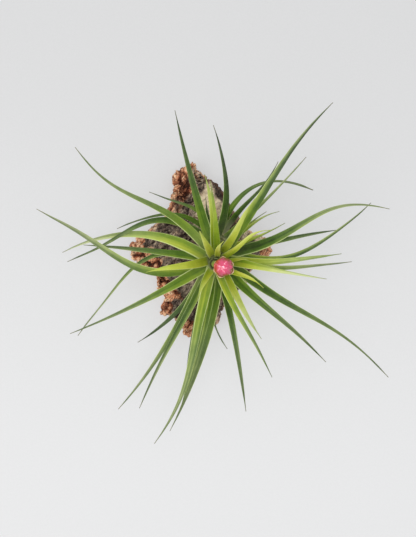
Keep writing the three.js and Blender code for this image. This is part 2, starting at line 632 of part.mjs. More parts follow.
// Wiry roots run from a crown under the stem and lie along the bark.
function makeRoots() {
  const over = 0.75;
  const sides = 18;
  const crownTop = 18.6;
  const middle = stemMiddle(crownTop);
  const crownRing = (radius, height) => levelRing(middle, () => radius, sides)
    .map(([x, y]) => [x, y, height ?? barkHeight(x, y) + over]);
  const crown = [
    crownRing(1),
    crownRing(3.2),
    crownRing(5.8),
    crownRing(4.9, crownTop - 0.6),
    crownRing(4.2, crownTop),
  ];
  let roots = loft(crown, fan(sides));
  const count = 7;
  for (let index = 0; index < count; index += 1) {
    const bearing = radians(360 * (index / count) + 22 * random(index, 5));
    const length = mix(13, 20, random(index, 9));
    const steps = 7;
    const line = [];
    for (let step = 0; step <= steps; step += 1) {
      const out = mix(3.5, length, step / steps);
      const turn = bearing + 0.35 * Math.sin(out * 0.35 + index);
      const [x, y] = [middle[0] + out * Math.cos(turn), middle[1] + out * Math.sin(turn)];
      line.push([x, y, barkHeight(x, y) + over + 0.8]);
    }
    const rings = line.map((point, step) => {
      const before = line[Math.max(0, step - 1)];
      const after = line[Math.min(steps, step + 1)];
      const direction = after.map((value, axis) => value - before[axis]);
      return squareRing(point, direction, mix(0.75, 0.5, step / steps), 6);
    });
    roots = roots.add(loft(rings, fan(6)));
  }
  return largest(roots);
}

// Colours and the finished group.
const COLOURS = {
  cork_bark: 0x6d5750,
  roots: 0x5b4a3a,
  stem: 0x8a9362,
  outer_bracts: 0xd7a07c,
  flower_head: 0xd93b6b,
  outer_leaf: 0x566b4c,
  middle_leaf: 0x6f8c45,
  inner_leaf: 0x86a346,
  heart_leaf: 0xa9bf4c,
};

function node(name, solid) {
  const source = solid.getMesh();
  const geometry = new THREE.BufferGeometry();
  geometry.setAttribute("position", new THREE.BufferAttribute(source.vertProperties, 3));
  geometry.setIndex(new THREE.BufferAttribute(source.triVerts, 1));
  const colour = COLOURS[name] ?? COLOURS[name.replace(/_\d+$/, "")];
  const mesh = new THREE.Mesh(geometry, new THREE.MeshStandardMaterial({ color: colour, roughness: 0.7 }));
  mesh.name = name;
  return mesh;
}

const bark = makeBark();
const head = makeHead();
const outerBracts = makeOuterBracts();
const group = new THREE.Group();
group.name = "air_plant";
group.add(node("cork_bark", bark));
group.add(node("roots", makeRoots()));
group.add(node("stem", makeStem()));
group.add(node("outer_bracts", outerBracts));
group.add(node("flower_head", head));
const stemShape = stemClearance();
for (const [name, solid] of placeLeaves([bark, head, outerBracts], stemShape)) {
  group.add(node(name, solid));
}
export default group;
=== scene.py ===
"""Looks for an air plant with a rose-coloured flower bud that grows on cork bark.

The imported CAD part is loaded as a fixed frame. Each piece is built round its CAD node,
in metres and in the same frame, and stands for that node.
"""

import logging
import math
from collections.abc import Callable, Sequence
from dataclasses import dataclass, field
from enum import Enum

import bmesh
import bpy
import numpy as np
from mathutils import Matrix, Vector, noise
from mathutils.bvhtree import BVHTree


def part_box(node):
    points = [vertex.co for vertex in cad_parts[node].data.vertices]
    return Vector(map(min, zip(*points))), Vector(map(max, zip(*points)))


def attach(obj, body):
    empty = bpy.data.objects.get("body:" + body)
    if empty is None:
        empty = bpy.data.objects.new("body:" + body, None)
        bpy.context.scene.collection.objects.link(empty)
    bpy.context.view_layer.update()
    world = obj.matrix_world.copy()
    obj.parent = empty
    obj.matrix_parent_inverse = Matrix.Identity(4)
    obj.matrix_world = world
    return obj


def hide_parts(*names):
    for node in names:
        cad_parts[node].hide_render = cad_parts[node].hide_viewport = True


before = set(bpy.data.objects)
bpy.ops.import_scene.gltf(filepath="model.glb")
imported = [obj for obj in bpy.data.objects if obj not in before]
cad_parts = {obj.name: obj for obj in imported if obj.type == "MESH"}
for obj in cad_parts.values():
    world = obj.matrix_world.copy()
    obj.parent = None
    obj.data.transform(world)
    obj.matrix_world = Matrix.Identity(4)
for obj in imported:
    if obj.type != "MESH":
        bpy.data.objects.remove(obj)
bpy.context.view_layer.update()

LOG = logging.getLogger("air_plant")
MM = 0.001
BODY = "root"
NOISE_SEED = 8

Array = np.ndarray
Colour = tuple[float, float, float, float]
Socket = bpy.types.NodeSocket


def paint(red: int, green: int, blue: int) -> Colour:
    """A colour as the eye reads it, turned into light.

    Args:
        red: Red from 0 to 255.
        green: Green from 0 to 255.
        blue: Blue from 0 to 255.

    Returns:
        The linear colour with a full fourth value.
    """
    shares = [value / 255 for value in (red, green, blue)]
    light = [s / 12.92 if s <= 0.04045 else ((s + 0.055) / 1.055) ** 2.4 for s in shares]
    return (light[0], light[1], light[2], 1.0)


def mix(first: float, second: float, share: float) -> float:
    """The value that lies between two others."""
    return first + (second - first) * share


def soft_step(low: float, high: float, value: float | Array) -> float | Array:
    """Rises smoothly from 0 at low to 1 at high."""
    share = np.clip((value - low) / (high - low), 0.0, 1.0)
    return share * share * (3 - 2 * share)


def scatter(index: int, seed: int) -> float:
    """A repeatable number from 0 to 1 for a whole number."""
    wave = math.sin(index * 127.1 + seed * 311.7) * 43758.5453
    return wave - math.floor(wave)


# Node trees.


class PortKind(Enum):
    """What a port of an effect carries."""

    NUMBER = "NodeSocketFloat"
    PLACE = "NodeSocketVector"
    COLOUR = "NodeSocketColor"


@dataclass(frozen=True)
class Port:
    """A named input or output of an effect.

    Attributes:
        name: The name that the group shows.
        kind: What it carries.
        value: The input's value where nothing is joined to it.
    """

    name: str
    kind: PortKind = PortKind.NUMBER
    value: float | Colour | None = None


class Desk:
    """Places the nodes of one tree and joins them."""

    def __init__(self, tree: bpy.types.NodeTree) -> None:
        """Keeps the tree that the nodes go into."""
        self.tree = tree

    def add(self, kind: str, **settings: object) -> bpy.types.Node:
        """Places one node.

        Args:
            kind: Blender's name for the kind of node.
            settings: The node's own settings.

        Returns:
            The new node.
        """
        node = self.tree.nodes.new(kind)
        for name, value in settings.items():
            setattr(node, name, value)
        return node

    def feed(self, socket: Socket, value: object) -> None:
        """Joins another socket to this one, or sets its value."""
        if isinstance(value, bpy.types.NodeSocket):
            self.tree.links.new(value, socket)
        else:
            socket.default_value = value

    def maths(self, operation: str, first: object, second: object = 0.0, clamp: bool = False) -> Socket:
        """One sum of two values.

        Args:
            operation: Blender's name for the sum.
            first: The first value or socket.
            second: The second value or socket.
            clamp: Keeps the answer between 0 and 1.

        Returns:
            The socket with the answer.
        """
        node = self.add("ShaderNodeMath", operation=operation, use_clamp=clamp)
        self.feed(node.inputs[0], first)
        self.feed(node.inputs[1], second)
        return node.outputs[0]

    def times(self, first: object, second: object, clamp: bool = False) -> Socket:
        """Multiplies two values."""
        return self.maths("MULTIPLY", first, second, clamp)

    def plus(self, first: object, second: object, clamp: bool = False) -> Socket:
        """Adds two values."""
        return self.maths("ADD", first, second, clamp)

    def minus(self, first: object, second: object, clamp: bool = False) -> Socket:
        """Takes the second value from the first."""
        return self.maths("SUBTRACT", first, second, clamp)

    def band(
        self, value: object, low: object, high: object, start: object = 0.0, end: object = 1.0
    ) -> Socket:
        """A smooth rise from start at low to end at high."""
        node = self.add("ShaderNodeMapRange", interpolation_type="SMOOTHSTEP")
        names = ("Value", "From Min", "From Max", "To Min", "To Max")
        for name, given in zip(names, (value, low, high, start, end)):
            self.feed(node.inputs[name], given)
        return node.outputs[0]

    def blend(self, share: object, first: object, second: object, way: str = "MIX") -> Socket:
        """Lays one colour over another.

        Args:
            share: How much of the second colour shows.
            first: The colour below.
            second: The colour above.
            way: Blender's name for the way they mix.

        Returns:
            The socket with the mixed colour.
        """
        node = self.add("ShaderNodeMix", data_type="RGBA", blend_type=way)
        self.feed(node.inputs[0], share)
        self.feed(node.inputs[6], first)
        self.feed(node.inputs[7], second)
        return node.outputs[2]

    def ramp(self, value: object, stops: Sequence[tuple[float, Colour]]) -> Socket:
        """Turns a value into a colour along the given stops."""
        node = self.add("ShaderNodeValToRGB")
        elements = node.color_ramp.elements
        while len(elements) < len(stops):
            elements.new(0.5)
        for element, (place, colour) in zip(elements, stops):
            element.position = place
            element.color = colour
        self.feed(node.inputs[0], value)
        return node.outputs[0]

    def stored(self, name: str, output: str = "Fac") -> Socket:
        """What the mesh stores under a name."""
        return self.add("ShaderNodeAttribute", attribute_name=name).outputs[output]

    def stretch(self, place: object, scale: object) -> Socket:
        """Multiplies a place by a scale for each axis."""
        node = self.add("ShaderNodeVectorMath", operation="MULTIPLY")
        self.feed(node.inputs[0], place)
        self.feed(node.inputs[1], scale)
        return node.outputs[0]

    def cloud(self, place: object, scale: object, detail: float = 3.0, rough: float = 0.55) -> Socket:
        """A noise value from 0 to 1."""
        node = self.add("ShaderNodeTexNoise")
        self.feed(node.inputs["Vector"], place)
        self.feed(node.inputs["Scale"], scale)
        node.inputs["Detail"].default_value = detail
        node.inputs["Roughness"].default_value = rough
        return node.outputs["Fac"]

    def cells(self, place: object, scale: object, feature: str = "F1") -> Socket:
        """The distance to the middle or the edge of a cell."""
        node = self.add("ShaderNodeTexVoronoi", feature=feature)
        self.feed(node.inputs["Vector"], place)
        self.feed(node.inputs["Scale"], scale)
        return node.outputs["Distance"]


# Effects that more than one finish uses.


class Effect:
    """A shader node group with named inputs and outputs, built once."""

    name = "Effect"
    inputs: tuple[Port, ...] = ()
    outputs: tuple[Port, ...] = ()

    def __init__(self) -> None:
        """Builds the group."""
        self.tree = bpy.data.node_groups.new(self.name, "ShaderNodeTree")
        for way, ports in (("INPUT", self.inputs), ("OUTPUT", self.outputs)):
            for port in ports:
                socket = self.tree.interface.new_socket(
                    name=port.name, in_out=way, socket_type=port.kind.value
                )
                if port.value is not None:
                    socket.default_value = port.value
        desk = Desk(self.tree)
        entry = desk.add("NodeGroupInput")
        leave = desk.add("NodeGroupOutput")
        made = self.draw(desk, {port.name: entry.outputs[port.name] for port in self.inputs})
        for name, socket in made.items():
            desk.feed(leave.inputs[name], socket)

    def draw(self, desk: Desk, given: dict[str, Socket]) -> dict[str, Socket]:
        """Places the group's own nodes.

        Args:
            desk: The desk of the group's tree.
            given: The sockets of the group's inputs.

        Returns:
            The socket for each output.
        """
        raise NotImplementedError

    def place(self, desk: Desk, **values: object) -> dict[str, Socket]:
        """Puts the group into a material.

        Args:
            desk: The desk of the material's tree.
            values: A value or a socket for each input, by the input's name in small letters.

        Returns:
            The outputs by name.
        """
        node = desk.add("ShaderNodeGroup", node_tree=self.tree)
        for name, value in values.items():
            desk.feed(node.inputs[name.replace("_", " ").capitalize()], value)
        return {port.name: node.outputs[port.name] for port in self.outputs}


class FibreLines(Effect):
    """Fine lines that run along a piece, such as veins or wood fibre."""

    name = "Fibre lines"
    inputs = (
        Port("Place", PortKind.PLACE),
        Port("Lines", PortKind.PLACE),
        Port("Contrast", value=0.5),
    )
    outputs = (Port("Mask"), Port("Height"))

    def draw(self, desk: Desk, given: dict[str, Socket]) -> dict[str, Socket]:
        """Draws stretched noise at two sizes."""
        place = desk.stretch(given["Place"], given["Lines"])
        broad = desk.cloud(place, 0.45, 2.0)
        fine = desk.cloud(place, 1.6, 3.0)
        both = desk.plus(desk.times(broad, 0.55), desk.times(fine, 0.45))
        spread = desk.times(desk.minus(both, 0.5), given["Contrast"])
        mask = desk.plus(desk.times(spread, 4.0), 0.5, clamp=True)
        return {"Mask": mask, "Height": both}


class Speckles(Effect):
    """Small scattered dots, such as leaf scales, pores or pits."""

    name = "Speckles"
    inputs = (
        Port("Place", PortKind.PLACE),
        Port("Per mm", value=3.0),
        Port("Size", value=0.3),
        Port("Amount", value=0.5),
    )
    outputs = (Port("Mask"), Port("Height"))

    def draw(self, desk: Desk, given: dict[str, Socket]) -> dict[str, Socket]:
        """Keeps the middles of cells, and thins them out with noise."""
        near = desk.cells(given["Place"], given["Per mm"])
        dots = desk.band(near, given["Size"], desk.times(given["Size"], 0.35))
        thin = desk.band(desk.cloud(given["Place"], desk.times(given["Per mm"], 0.23)), 0.38, 0.62)
        mask = desk.times(desk.times(dots, thin), given["Amount"], clamp=True)
        return {"Mask": mask, "Height": dots}


class Grains(Effect):
    """Small grains, each with a shade of its own, such as cork or rough skin."""

    name = "Grains"
    inputs = (
        Port("Place", PortKind.PLACE),
        Port("Per mm", value=1.0),
    )
    outputs = (Port("Shade"), Port("Height"))

    def draw(self, desk: Desk, given: dict[str, Socket]) -> dict[str, Socket]:
        """Gives each cell one number and a domed height."""
        node = desk.add("ShaderNodeTexVoronoi")
        desk.feed(node.inputs["Vector"], given["Place"])
        desk.feed(node.inputs["Scale"], given["Per mm"])
        dome = desk.minus(1.0, node.outputs["Distance"], clamp=True)
        return {"Shade": desk.plus(node.outputs["Color"], 0.0), "Height": dome}


class Mottle(Effect):
    """Soft patches where a finish is darker or lighter."""

    name = "Mottle"
    inputs = (
        Port("Place", PortKind.PLACE),
        Port("Per mm", value=0.2),
        Port("Low", value=0.35),
        Port("High", value=0.65),
    )
    outputs = (Port("Mask"),)

    def draw(self, desk: Desk, given: dict[str, Socket]) -> dict[str, Socket]:
        """Draws broad noise between two levels."""
        patches = desk.cloud(given["Place"], given["Per mm"], 4.0, 0.6)
        return {"Mask": desk.band(patches, given["Low"], given["High"])}


class BrokenEdge(Effect):
    """An edge mask with an uneven border, for rims, wear and dry margins."""

    name = "Broken edge"
    inputs = (
        Port("Edge", value=0.0),
        Port("Place", PortKind.PLACE),
        Port("Per mm", value=1.0),
        Port("Breakup", value=0.3),
    )
    outputs = (Port("Mask"),)

    def draw(self, desk: Desk, given: dict[str, Socket]) -> dict[str, Socket]:
        """Shifts the edge value by noise and sharpens it."""
        rough = desk.minus(desk.cloud(given["Place"], given["Per mm"], 3.0), 0.5)
        moved = desk.plus(given["Edge"], desk.times(rough, given["Breakup"]))
        held = desk.times(desk.band(moved, 0.12, 0.85), desk.band(given["Edge"], 0.0, 0.1))
        return {"Mask": held}


class Cracks(Effect):
    """Thin wandering lines, such as splits in bark or in dry skin."""

    name = "Cracks"
    inputs = (
        Port("Place", PortKind.PLACE),
        Port("Lines", PortKind.PLACE),
        Port("Width", value=0.03),
    )
    outputs = (Port("Mask"),)

    def draw(self, desk: Desk, given: dict[str, Socket]) -> dict[str, Socket]:
        """Keeps the places where stretched noise crosses its middle."""
        wave = desk.cloud(desk.stretch(given["Place"], given["Lines"]), 0.5, 3.0)
        off = desk.maths("ABSOLUTE", desk.minus(wave, 0.5))
        return {"Mask": desk.band(off, given["Width"], desk.times(given["Width"], 0.3))}


class Hollows(Effect):
    """Darkens the colour towards a deep colour by a mask: painted shade in cracks and under overlaps, and
    other darker patches.
    """

    name = "Hollows"
    inputs = (
        Port("Colour", PortKind.COLOUR, (0.5, 0.5, 0.5, 1.0)),
        Port("Deep colour", PortKind.COLOUR, (0.02, 0.015, 0.01, 1.0)),
        Port("Depth", value=0.0),
        Port("Amount", value=0.8),
    )
    outputs = (Port("Colour", PortKind.COLOUR),)

    def draw(self, desk: Desk, given: dict[str, Socket]) -> dict[str, Socket]:
        """Mixes towards the deep colour with the stored depth."""
        share = desk.times(desk.band(given["Depth"], 0.05, 0.95), given["Amount"], clamp=True)
        return {"Colour": desk.blend(share, given["Colour"], given["Deep colour"])}


class Effects:
    """Every shared effect, each built once."""

    def __init__(self) -> None:
        """Builds the groups."""
        self.fibre = FibreLines()
        self.speckles = Speckles()
        self.grains = Grains()
        self.mottle = Mottle()
        self.edge = BrokenEdge()
        self.cracks = Cracks()
        self.hollows = Hollows()


# Finishes.


@dataclass(frozen=True)
class Finish:
    """What every finish has.

    Attributes:
        name: The material's name.
        roughness: How matt the surface is.
        coat: How much clear gloss lies on it.
        coat_bend: How strongly that gloss bends light.
        shine: The surface's own shine, 0.5 for plain plastic.
        relief: The depth of its fine relief, in metres.
    """

    name: str
    roughness: float = 0.5
    coat: float = 0.0
    coat_bend: float = 1.5
    shine: float = 0.5
    relief: float = 0.05 * MM

    def material(self, effects: Effects) -> bpy.types.Material:
        """Makes the material.

        Args:
            effects: The shared effects.

        Returns:
            The finished material.
        """
        made = bpy.data.materials.new(self.name)
        made.use_nodes = True
        made.node_tree.nodes.clear()
        desk = Desk(made.node_tree)
        shader = desk.add("ShaderNodeBsdfPrincipled")
        desk.feed(desk.add("ShaderNodeOutputMaterial").inputs["Surface"], shader.outputs[0])
        shader.inputs["Coat Weight"].default_value = self.coat
        shader.inputs["Coat Roughness"].default_value = 0.08
        shader.inputs["Coat IOR"].default_value = self.coat_bend
        shader.inputs["Specular IOR Level"].default_value = self.shine
        colour, rough, height = self.paint_over(desk, effects)
        desk.feed(shader.inputs["Base Color"], colour)
        desk.feed(shader.inputs["Roughness"], rough)
        bump = desk.add("ShaderNodeBump")
        bump.inputs["Strength"].default_value = 1.0
        bump.inputs["Distance"].default_value = self.relief
        desk.feed(bump.inputs["Height"], height)
        desk.feed(shader.inputs["Normal"], bump.outputs[0])
        self.tune(desk, shader)
        return made

    @staticmethod
    def object_mm(desk: Desk) -> Socket:
        """The place on the object, in millimetres."""
        return desk.stretch(desk.add("ShaderNodeTexCoord").outputs["Object"], (1 / MM, 1 / MM, 1 / MM))

    def paint_over(self, desk: Desk, effects: Effects) -> tuple[Socket, Socket, Socket]:
        """Places the finish's own nodes.

        Args:
            desk: The desk of the material's tree.
            effects: The shared effects.

        Returns:
            The sockets for the colour, the roughness and the height.
        """
        raise NotImplementedError

    def tune(self, desk: Desk, shader: bpy.types.Node) -> None:
        """Sets what only this finish has on the shader itself.

        Args:
            desk: The desk of the material's tree.
            shader: The material's shader.
        """


@dataclass(frozen=True)
class LeafFinish(Finish):
    """A stiff leaf: green by its tone, with veins, silvery scales and pale rims.

    Attributes:
        shades: The greens of the grown blade, from dark to bright.
        fresh: The yellower greens of the base, from dark to bright.
        faded: The greyer greens of the far half, from dark to bright.
        rim: The thin, pale edge.
        tip: The dry tip.
        underside: The scaly lower side.
        sheath: The pale, papery base.
        scales: How many silvery scales the blade has.
    """

    shades: tuple[Colour, ...] = (
        paint(38, 54, 24),
        paint(64, 90, 38),
        paint(96, 120, 56),
        paint(134, 154, 76),
        paint(170, 188, 94),
        paint(200, 212, 130),
    )
    fresh: tuple[Colour, ...] = (
        paint(44, 68, 18),
        paint(80, 114, 26),
        paint(120, 148, 36),
        paint(158, 176, 46),
        paint(188, 198, 66),
        paint(208, 214, 98),
    )
    faded: tuple[Colour, ...] = (
        paint(52, 64, 42),
        paint(82, 96, 64),
        paint(116, 128, 90),
        paint(150, 158, 118),
        paint(182, 190, 146),
        paint(204, 210, 172),
    )
    rim: Colour = paint(212, 224, 154)
    tip: Colour = paint(132, 124, 92)
    underside: Colour = paint(130, 146, 104)
    sheath: Colour = paint(214, 214, 178)
    scales: float = 0.35

    @staticmethod
    def stops(colours: Sequence[Colour]) -> list[tuple[float, Colour]]:
        """Spreads colours evenly over a ramp."""
        last = len(colours) - 1
        return [(index / last, colour) for index, colour in enumerate(colours)]

    def paint_over(self, desk: Desk, effects: Effects) -> tuple[Socket, Socket, Socket]:
        """Paints the blade from its stored tone, which holds painted light and shade, and its age, rim, side
        and place.
        """
        place = desk.stored("leaf_mm", "Vector")
        veins = effects.fibre.place(desk, place=place, lines=(3.4, 0.16, 1.0), contrast=0.55)
        streaks = effects.fibre.place(desk, place=place, lines=(1.1, 0.05, 1.0), contrast=0.7)
        patches = effects.mottle.place(desk, place=place, per_mm=0.16, low=0.3, high=0.72)
        dots = effects.speckles.place(desk, place=place, per_mm=3.6, size=0.42, amount=self.scales)
        rim = effects.edge.place(desk, edge=desk.stored("rim"), place=place, per_mm=0.9, breakup=0.3)
        tone = desk.stored("tone")
        for mask, amount in ((veins["Mask"], 0.12), (streaks["Mask"], 0.14), (patches["Mask"], 0.10)):
            change = desk.times(desk.minus(mask, 0.5), amount)
            tone = desk.plus(tone, change, clamp=True)
        colour = desk.ramp(tone, self.stops(self.shades))
        colour = desk.blend(desk.stored("fresh"), colour, desk.ramp(tone, self.stops(self.fresh)))
        colour = desk.blend(desk.stored("faded"), colour, desk.ramp(tone, self.stops(self.faded)))
        colour = desk.blend(desk.times(desk.stored("under"), 0.5), colour, self.underside)
        colour = desk.blend(desk.times(dots["Mask"], 0.3), colour, self.rim)
        colour = desk.blend(desk.times(desk.stored("sheath"), 0.9), colour, self.sheath)
        colour = desk.blend(rim["Mask"], colour, self.rim)
        colour = desk.blend(desk.times(desk.stored("dry"), 0.8), colour, self.tip)
        rough = desk.plus(self.roughness, desk.times(dots["Mask"], 0.3), clamp=True)
        height = desk.plus(veins["Height"], desk.times(dots["Height"], 0.25))
        return colour, rough, height


@dataclass(frozen=True)
class BractFinish(Finish):
    """A smooth coloured bract with a paler rim and fine veins."""

    body: Colour = paint(226, 10, 96)
    # The painted shade on the bud's lower sides and core, also used for random mottle.
    shaded: Colour = paint(140, 8, 40)
    # Painted light: the bud's side towards the window light is painted this warmer coral.
    warm: Colour = paint(216, 56, 46)
    rim: Colour = paint(246, 140, 170)
    foot: Colour = paint(214, 190, 120)

    def paint_over(self, desk: Desk, effects: Effects) -> tuple[Socket, Socket, Socket]:
        """Paints the bract from its stored rim, warmth and painted shade; on the bud the warmth holds painted
        light on its side towards the window light.
        """
        place = desk.stored("bract_mm", "Vector")
        veins = effects.fibre.place(desk, place=place, lines=(3.0, 0.35, 1.0), contrast=0.5)
        patches = effects.mottle.place(desk, place=place, per_mm=0.5, low=0.3, high=0.7)
        rim = effects.edge.place(desk, edge=desk.stored("rim"), place=place, per_mm=1.6, breakup=0.4)
        # The darker of random mottle and the painted shade stored on the mesh.
        dusk = desk.maths("MAXIMUM", desk.times(patches["Mask"], 0.3), desk.stored("dusk"))
        colour = desk.blend(dusk, self.body, self.shaded)
        colour = desk.blend(desk.times(veins["Mask"], 0.18), colour, self.rim)
        # On the bud, painted light warms the side towards the window light; the outer bracts' warmer tips are
        # their own colour.
        colour = desk.blend(desk.stored("warm"), colour, self.warm)
        colour = desk.blend(desk.stored("foot"), colour, self.foot)
        colour = desk.blend(desk.times(rim["Mask"], 0.75), colour, self.rim)
        rough = desk.plus(self.roughness, desk.times(patches["Mask"], 0.08), clamp=True)
        return colour, rough, veins["Height"]


@dataclass(frozen=True)
class SheathFinish(Finish):
    """Dry, papery leaf bases that wrap the stem."""

    body: Colour = paint(150, 136, 94)
    dry: Colour = paint(104, 76, 52)
    rim: Colour = paint(216, 208, 172)
    green: Colour = paint(84, 102, 40)
    # The painted shade at the foot of each leaf base, under the one that overlaps it.
    deep: Colour = paint(48, 38, 26)

    def paint_over(self, desk: Desk, effects: Effects) -> tuple[Socket, Socket, Socket]:
        """Paints the sheaths from their stored share, rim and foot, with shade painted at each foot under the
        base above it.
        """
        place = desk.stored("bract_mm", "Vector")
        fibre = effects.fibre.place(desk, place=place, lines=(3.6, 0.3, 1.0), contrast=0.9)
        patches = effects.mottle.place(desk, place=place, per_mm=0.35, low=0.35, high=0.65)
        rim = effects.edge.place(desk, edge=desk.stored("rim"), place=place, per_mm=1.2, breakup=0.7)
        colour = desk.blend(patches["Mask"], self.body, self.dry)
        colour = desk.blend(desk.times(fibre["Mask"], 0.4), colour, self.rim)
        colour = desk.blend(rim["Mask"], colour, self.rim)
        colour = desk.blend(desk.times(desk.stored("young"), 0.85), colour, self.green)
        # Painted shade: each leaf base is darkened at its foot, under the base above, and so is the core
        # between them.
        foot = desk.stored("foot")
        sunk = effects.hollows.place(desk, colour=colour, deep_colour=self.deep, depth=foot, amount=0.85)
        rough = desk.plus(self.roughness, desk.times(fibre["Mask"], 0.2), clamp=True)
        return sunk["Colour"], rough, fibre["Height"]


@dataclass(frozen=True)
class RootFinish(Finish):
    """Wiry brown roots with a fibrous skin."""

    body: Colour = paint(112, 88, 64)
    pale: Colour = paint(158, 132, 100)
    deep: Colour = paint(40, 29, 22)

    def paint_over(self, desk: Desk, effects: Effects) -> tuple[Socket, Socket, Socket]:
        """Paints the skin by place alone."""
        place = self.object_mm(desk)
        fibre = effects.fibre.place(desk, place=place, lines=(2.2, 2.2, 3.0), contrast=0.8)
        patches = effects.mottle.place(desk, place=place, per_mm=0.4, low=0.35, high=0.65)
        dots = effects.speckles.place(desk, place=place, per_mm=1.8, size=0.35, amount=0.6)
        colour = desk.blend(fibre["Mask"], self.body, self.pale)
        sunk = effects.hollows.place(
            desk, colour=colour, deep_colour=self.deep, depth=patches["Mask"], amount=0.5
        )
        splits = effects.cracks.place(desk, place=place, lines=(3.0, 3.0, 3.0), width=0.03)
        colour = desk.blend(desk.times(splits["Mask"], 0.6), sunk["Colour"], self.deep)
        colour = desk.blend(dots["Mask"], colour, self.pale)
        rough = desk.plus(self.roughness, desk.times(fibre["Mask"], 0.15), clamp=True)
        return colour, rough, fibre["Height"]


@dataclass(frozen=True)
class BarkFinish(Finish):
    """Cork bark: grainy dark skin, pale plates and broken rusty cork.

    Attributes:
        grains: The shades of the grainy skin, from dark to pale.
        embers: The shades of the broken cork, from its hollows to its crests, with shade painted into the
            hollows.
        plate: The pale, smooth plates.
        line: The lines along a plate.
        deep: The cracks and pores, and the painted shade in hollows.
        drawn: How the grains are drawn out along the bark's grain.
    """

    grains: tuple[tuple[float, Colour], ...] = (
        (0.18, paint(38, 29, 32)),
        (0.36, paint(78, 62, 61)),
        (0.54, paint(120, 101, 93)),
        (0.68, paint(158, 137, 118)),
        (0.84, paint(226, 205, 174)),
    )
    embers: tuple[tuple[float, Colour], ...] = (
        (0.12, paint(90, 43, 32)),
        (0.34, paint(174, 95, 66)),
        (0.54, paint(226, 148, 106)),
        (0.80, paint(250, 212, 172)),
    )
    plate: Colour = paint(250, 230, 196)
    line: Colour = paint(148, 122, 98)
    deep: Colour = paint(38, 25, 20)
    drawn: tuple[float, float, float] = (0.5, 1.15, 1.15)

    def paint_over(self, desk: Desk, effects: Effects) -> tuple[Socket, Socket, Socket]:
        """Paints the bark from its stored tone, rust, depth, flank and grain; the depth paints shade into
        fissures and hollows, and darkens the dim patches.
        """
        place = desk.stored("bark_mm", "Vector")
        depth = desk.stored("depth")
        lines = effects.fibre.place(desk, place=place, lines=(0.35, 2.2, 1.4), contrast=0.9)
        drawn = desk.stretch(place, self.drawn)
        coarse = effects.grains.place(desk, place=drawn, per_mm=0.8)
        fine = effects.grains.place(desk, place=drawn, per_mm=1.9)
        patches = effects.mottle.place(desk, place=place, per_mm=0.3, low=0.3, high=0.7)
        pores = effects.speckles.place(desk, place=place, per_mm=0.8, size=0.34, amount=0.9)
        splits = effects.cracks.place(desk, place=place, lines=(0.35, 1.5, 1.2), width=0.035)
        shade = desk.times(coarse["Shade"], 0.36)
        shade = desk.plus(shade, desk.times(fine["Shade"], 0.48))
        shade = desk.plus(shade, desk.times(patches["Mask"], 0.16))
        skin = desk.ramp(shade, self.grains)
        plate = desk.blend(desk.times(lines["Mask"], 0.5), self.plate, self.line)
        plate = desk.blend(desk.times(desk.band(shade, 0.62, 0.8), 0.35), plate, self.line)
        colour = desk.blend(desk.stored("pale"), skin, plate)
        crest = desk.plus(desk.times(shade, 0.38), desk.times(lines["Mask"], 0.2))
        # Painted shade: the broken cork is darker the deeper it lies.
        crest = desk.plus(crest, desk.minus(0.40, desk.times(depth, 0.46)))
        crest = desk.plus(crest, desk.times(desk.stored("flank"), 0.08))
        warm = desk.ramp(crest, self.embers)
        edge = effects.edge.place(desk, edge=desk.stored("rust"), place=place, per_mm=0.5, breakup=0.6)
        colour = desk.blend(edge["Mask"], colour, warm)
        colour = desk.blend(desk.times(pores["Mask"], 0.45), colour, self.deep)
        clean = desk.minus(1.0, desk.times(desk.stored("pale"), 0.6))
        colour = desk.blend(desk.times(splits["Mask"], desk.times(clean, 0.9)), colour, self.deep)
        # Painted shade in the fissures, clefts and hollows, and the dim patches darkened.
        sunk = effects.hollows.place(desk, colour=colour, deep_colour=self.deep, depth=depth, amount=0.7)
        height = desk.plus(fine["Height"], desk.times(coarse["Height"], 0.8))
        height = desk.plus(height, desk.times(lines["Height"], 0.5))
        height = desk.minus(height, desk.times(pores["Mask"], 0.8))
        height = desk.minus(height, desk.times(splits["Mask"], 0.8))
        height = desk.times(height, clean)
        rough = desk.plus(self.roughness, desk.times(lines["Mask"], 0.08), clamp=True)
        return sunk["Colour"], rough, height


@dataclass(frozen=True)
class TableFinish(Finish):
    """The plain pale surface that the bark lies on, with a soft painted glow of its own.

    Attributes:
        body: Its colour.
        glow: The painted light that it gives off, though it is no lamp.
        glow_low: The strength of that light by the lower edge of the view.
        glow_high: The strength by the upper edge.
        reach: How far both edges lie from the middle, in millimetres.
    """

    body: Colour = paint(152, 152, 152)
    glow: Colour = (0.985, 0.99, 1.0, 1.0)
    glow_low: float = 0.455
    glow_high: float = 0.365
    reach: float = 130.0

    def paint_over(self, desk: Desk, effects: Effects) -> tuple[Socket, Socket, Socket]:
        """Paints a matt sheet with a trace of tooth."""
        place = self.object_mm(desk)
        tooth = effects.mottle.place(desk, place=place, per_mm=1.2, low=0.3, high=0.7)
        colour = desk.blend(desk.times(tooth["Mask"], 0.02), self.body, (1.0, 1.0, 1.0, 1.0))
        rough = desk.plus(self.roughness, 0.0)
        return colour, rough, tooth["Mask"]

    def tune(self, desk: Desk, shader: bpy.types.Node) -> None:
        """Paints a glow into the sheet, as if lit from below, a little weaker towards the upper edge."""
        parts = desk.add("ShaderNodeSeparateXYZ")
        desk.feed(parts.inputs[0], desk.add("ShaderNodeTexCoord").outputs["Object"])
        reach = self.reach * MM
        strength = desk.band(parts.outputs["Y"], -reach, reach, self.glow_low, self.glow_high)
        shader.inputs["Emission Color"].default_value = self.glow
        # Painted light: the table gives off light of its own, stronger towards the lower edge.
        desk.feed(shader.inputs["Emission Strength"], strength)


# Meshes.


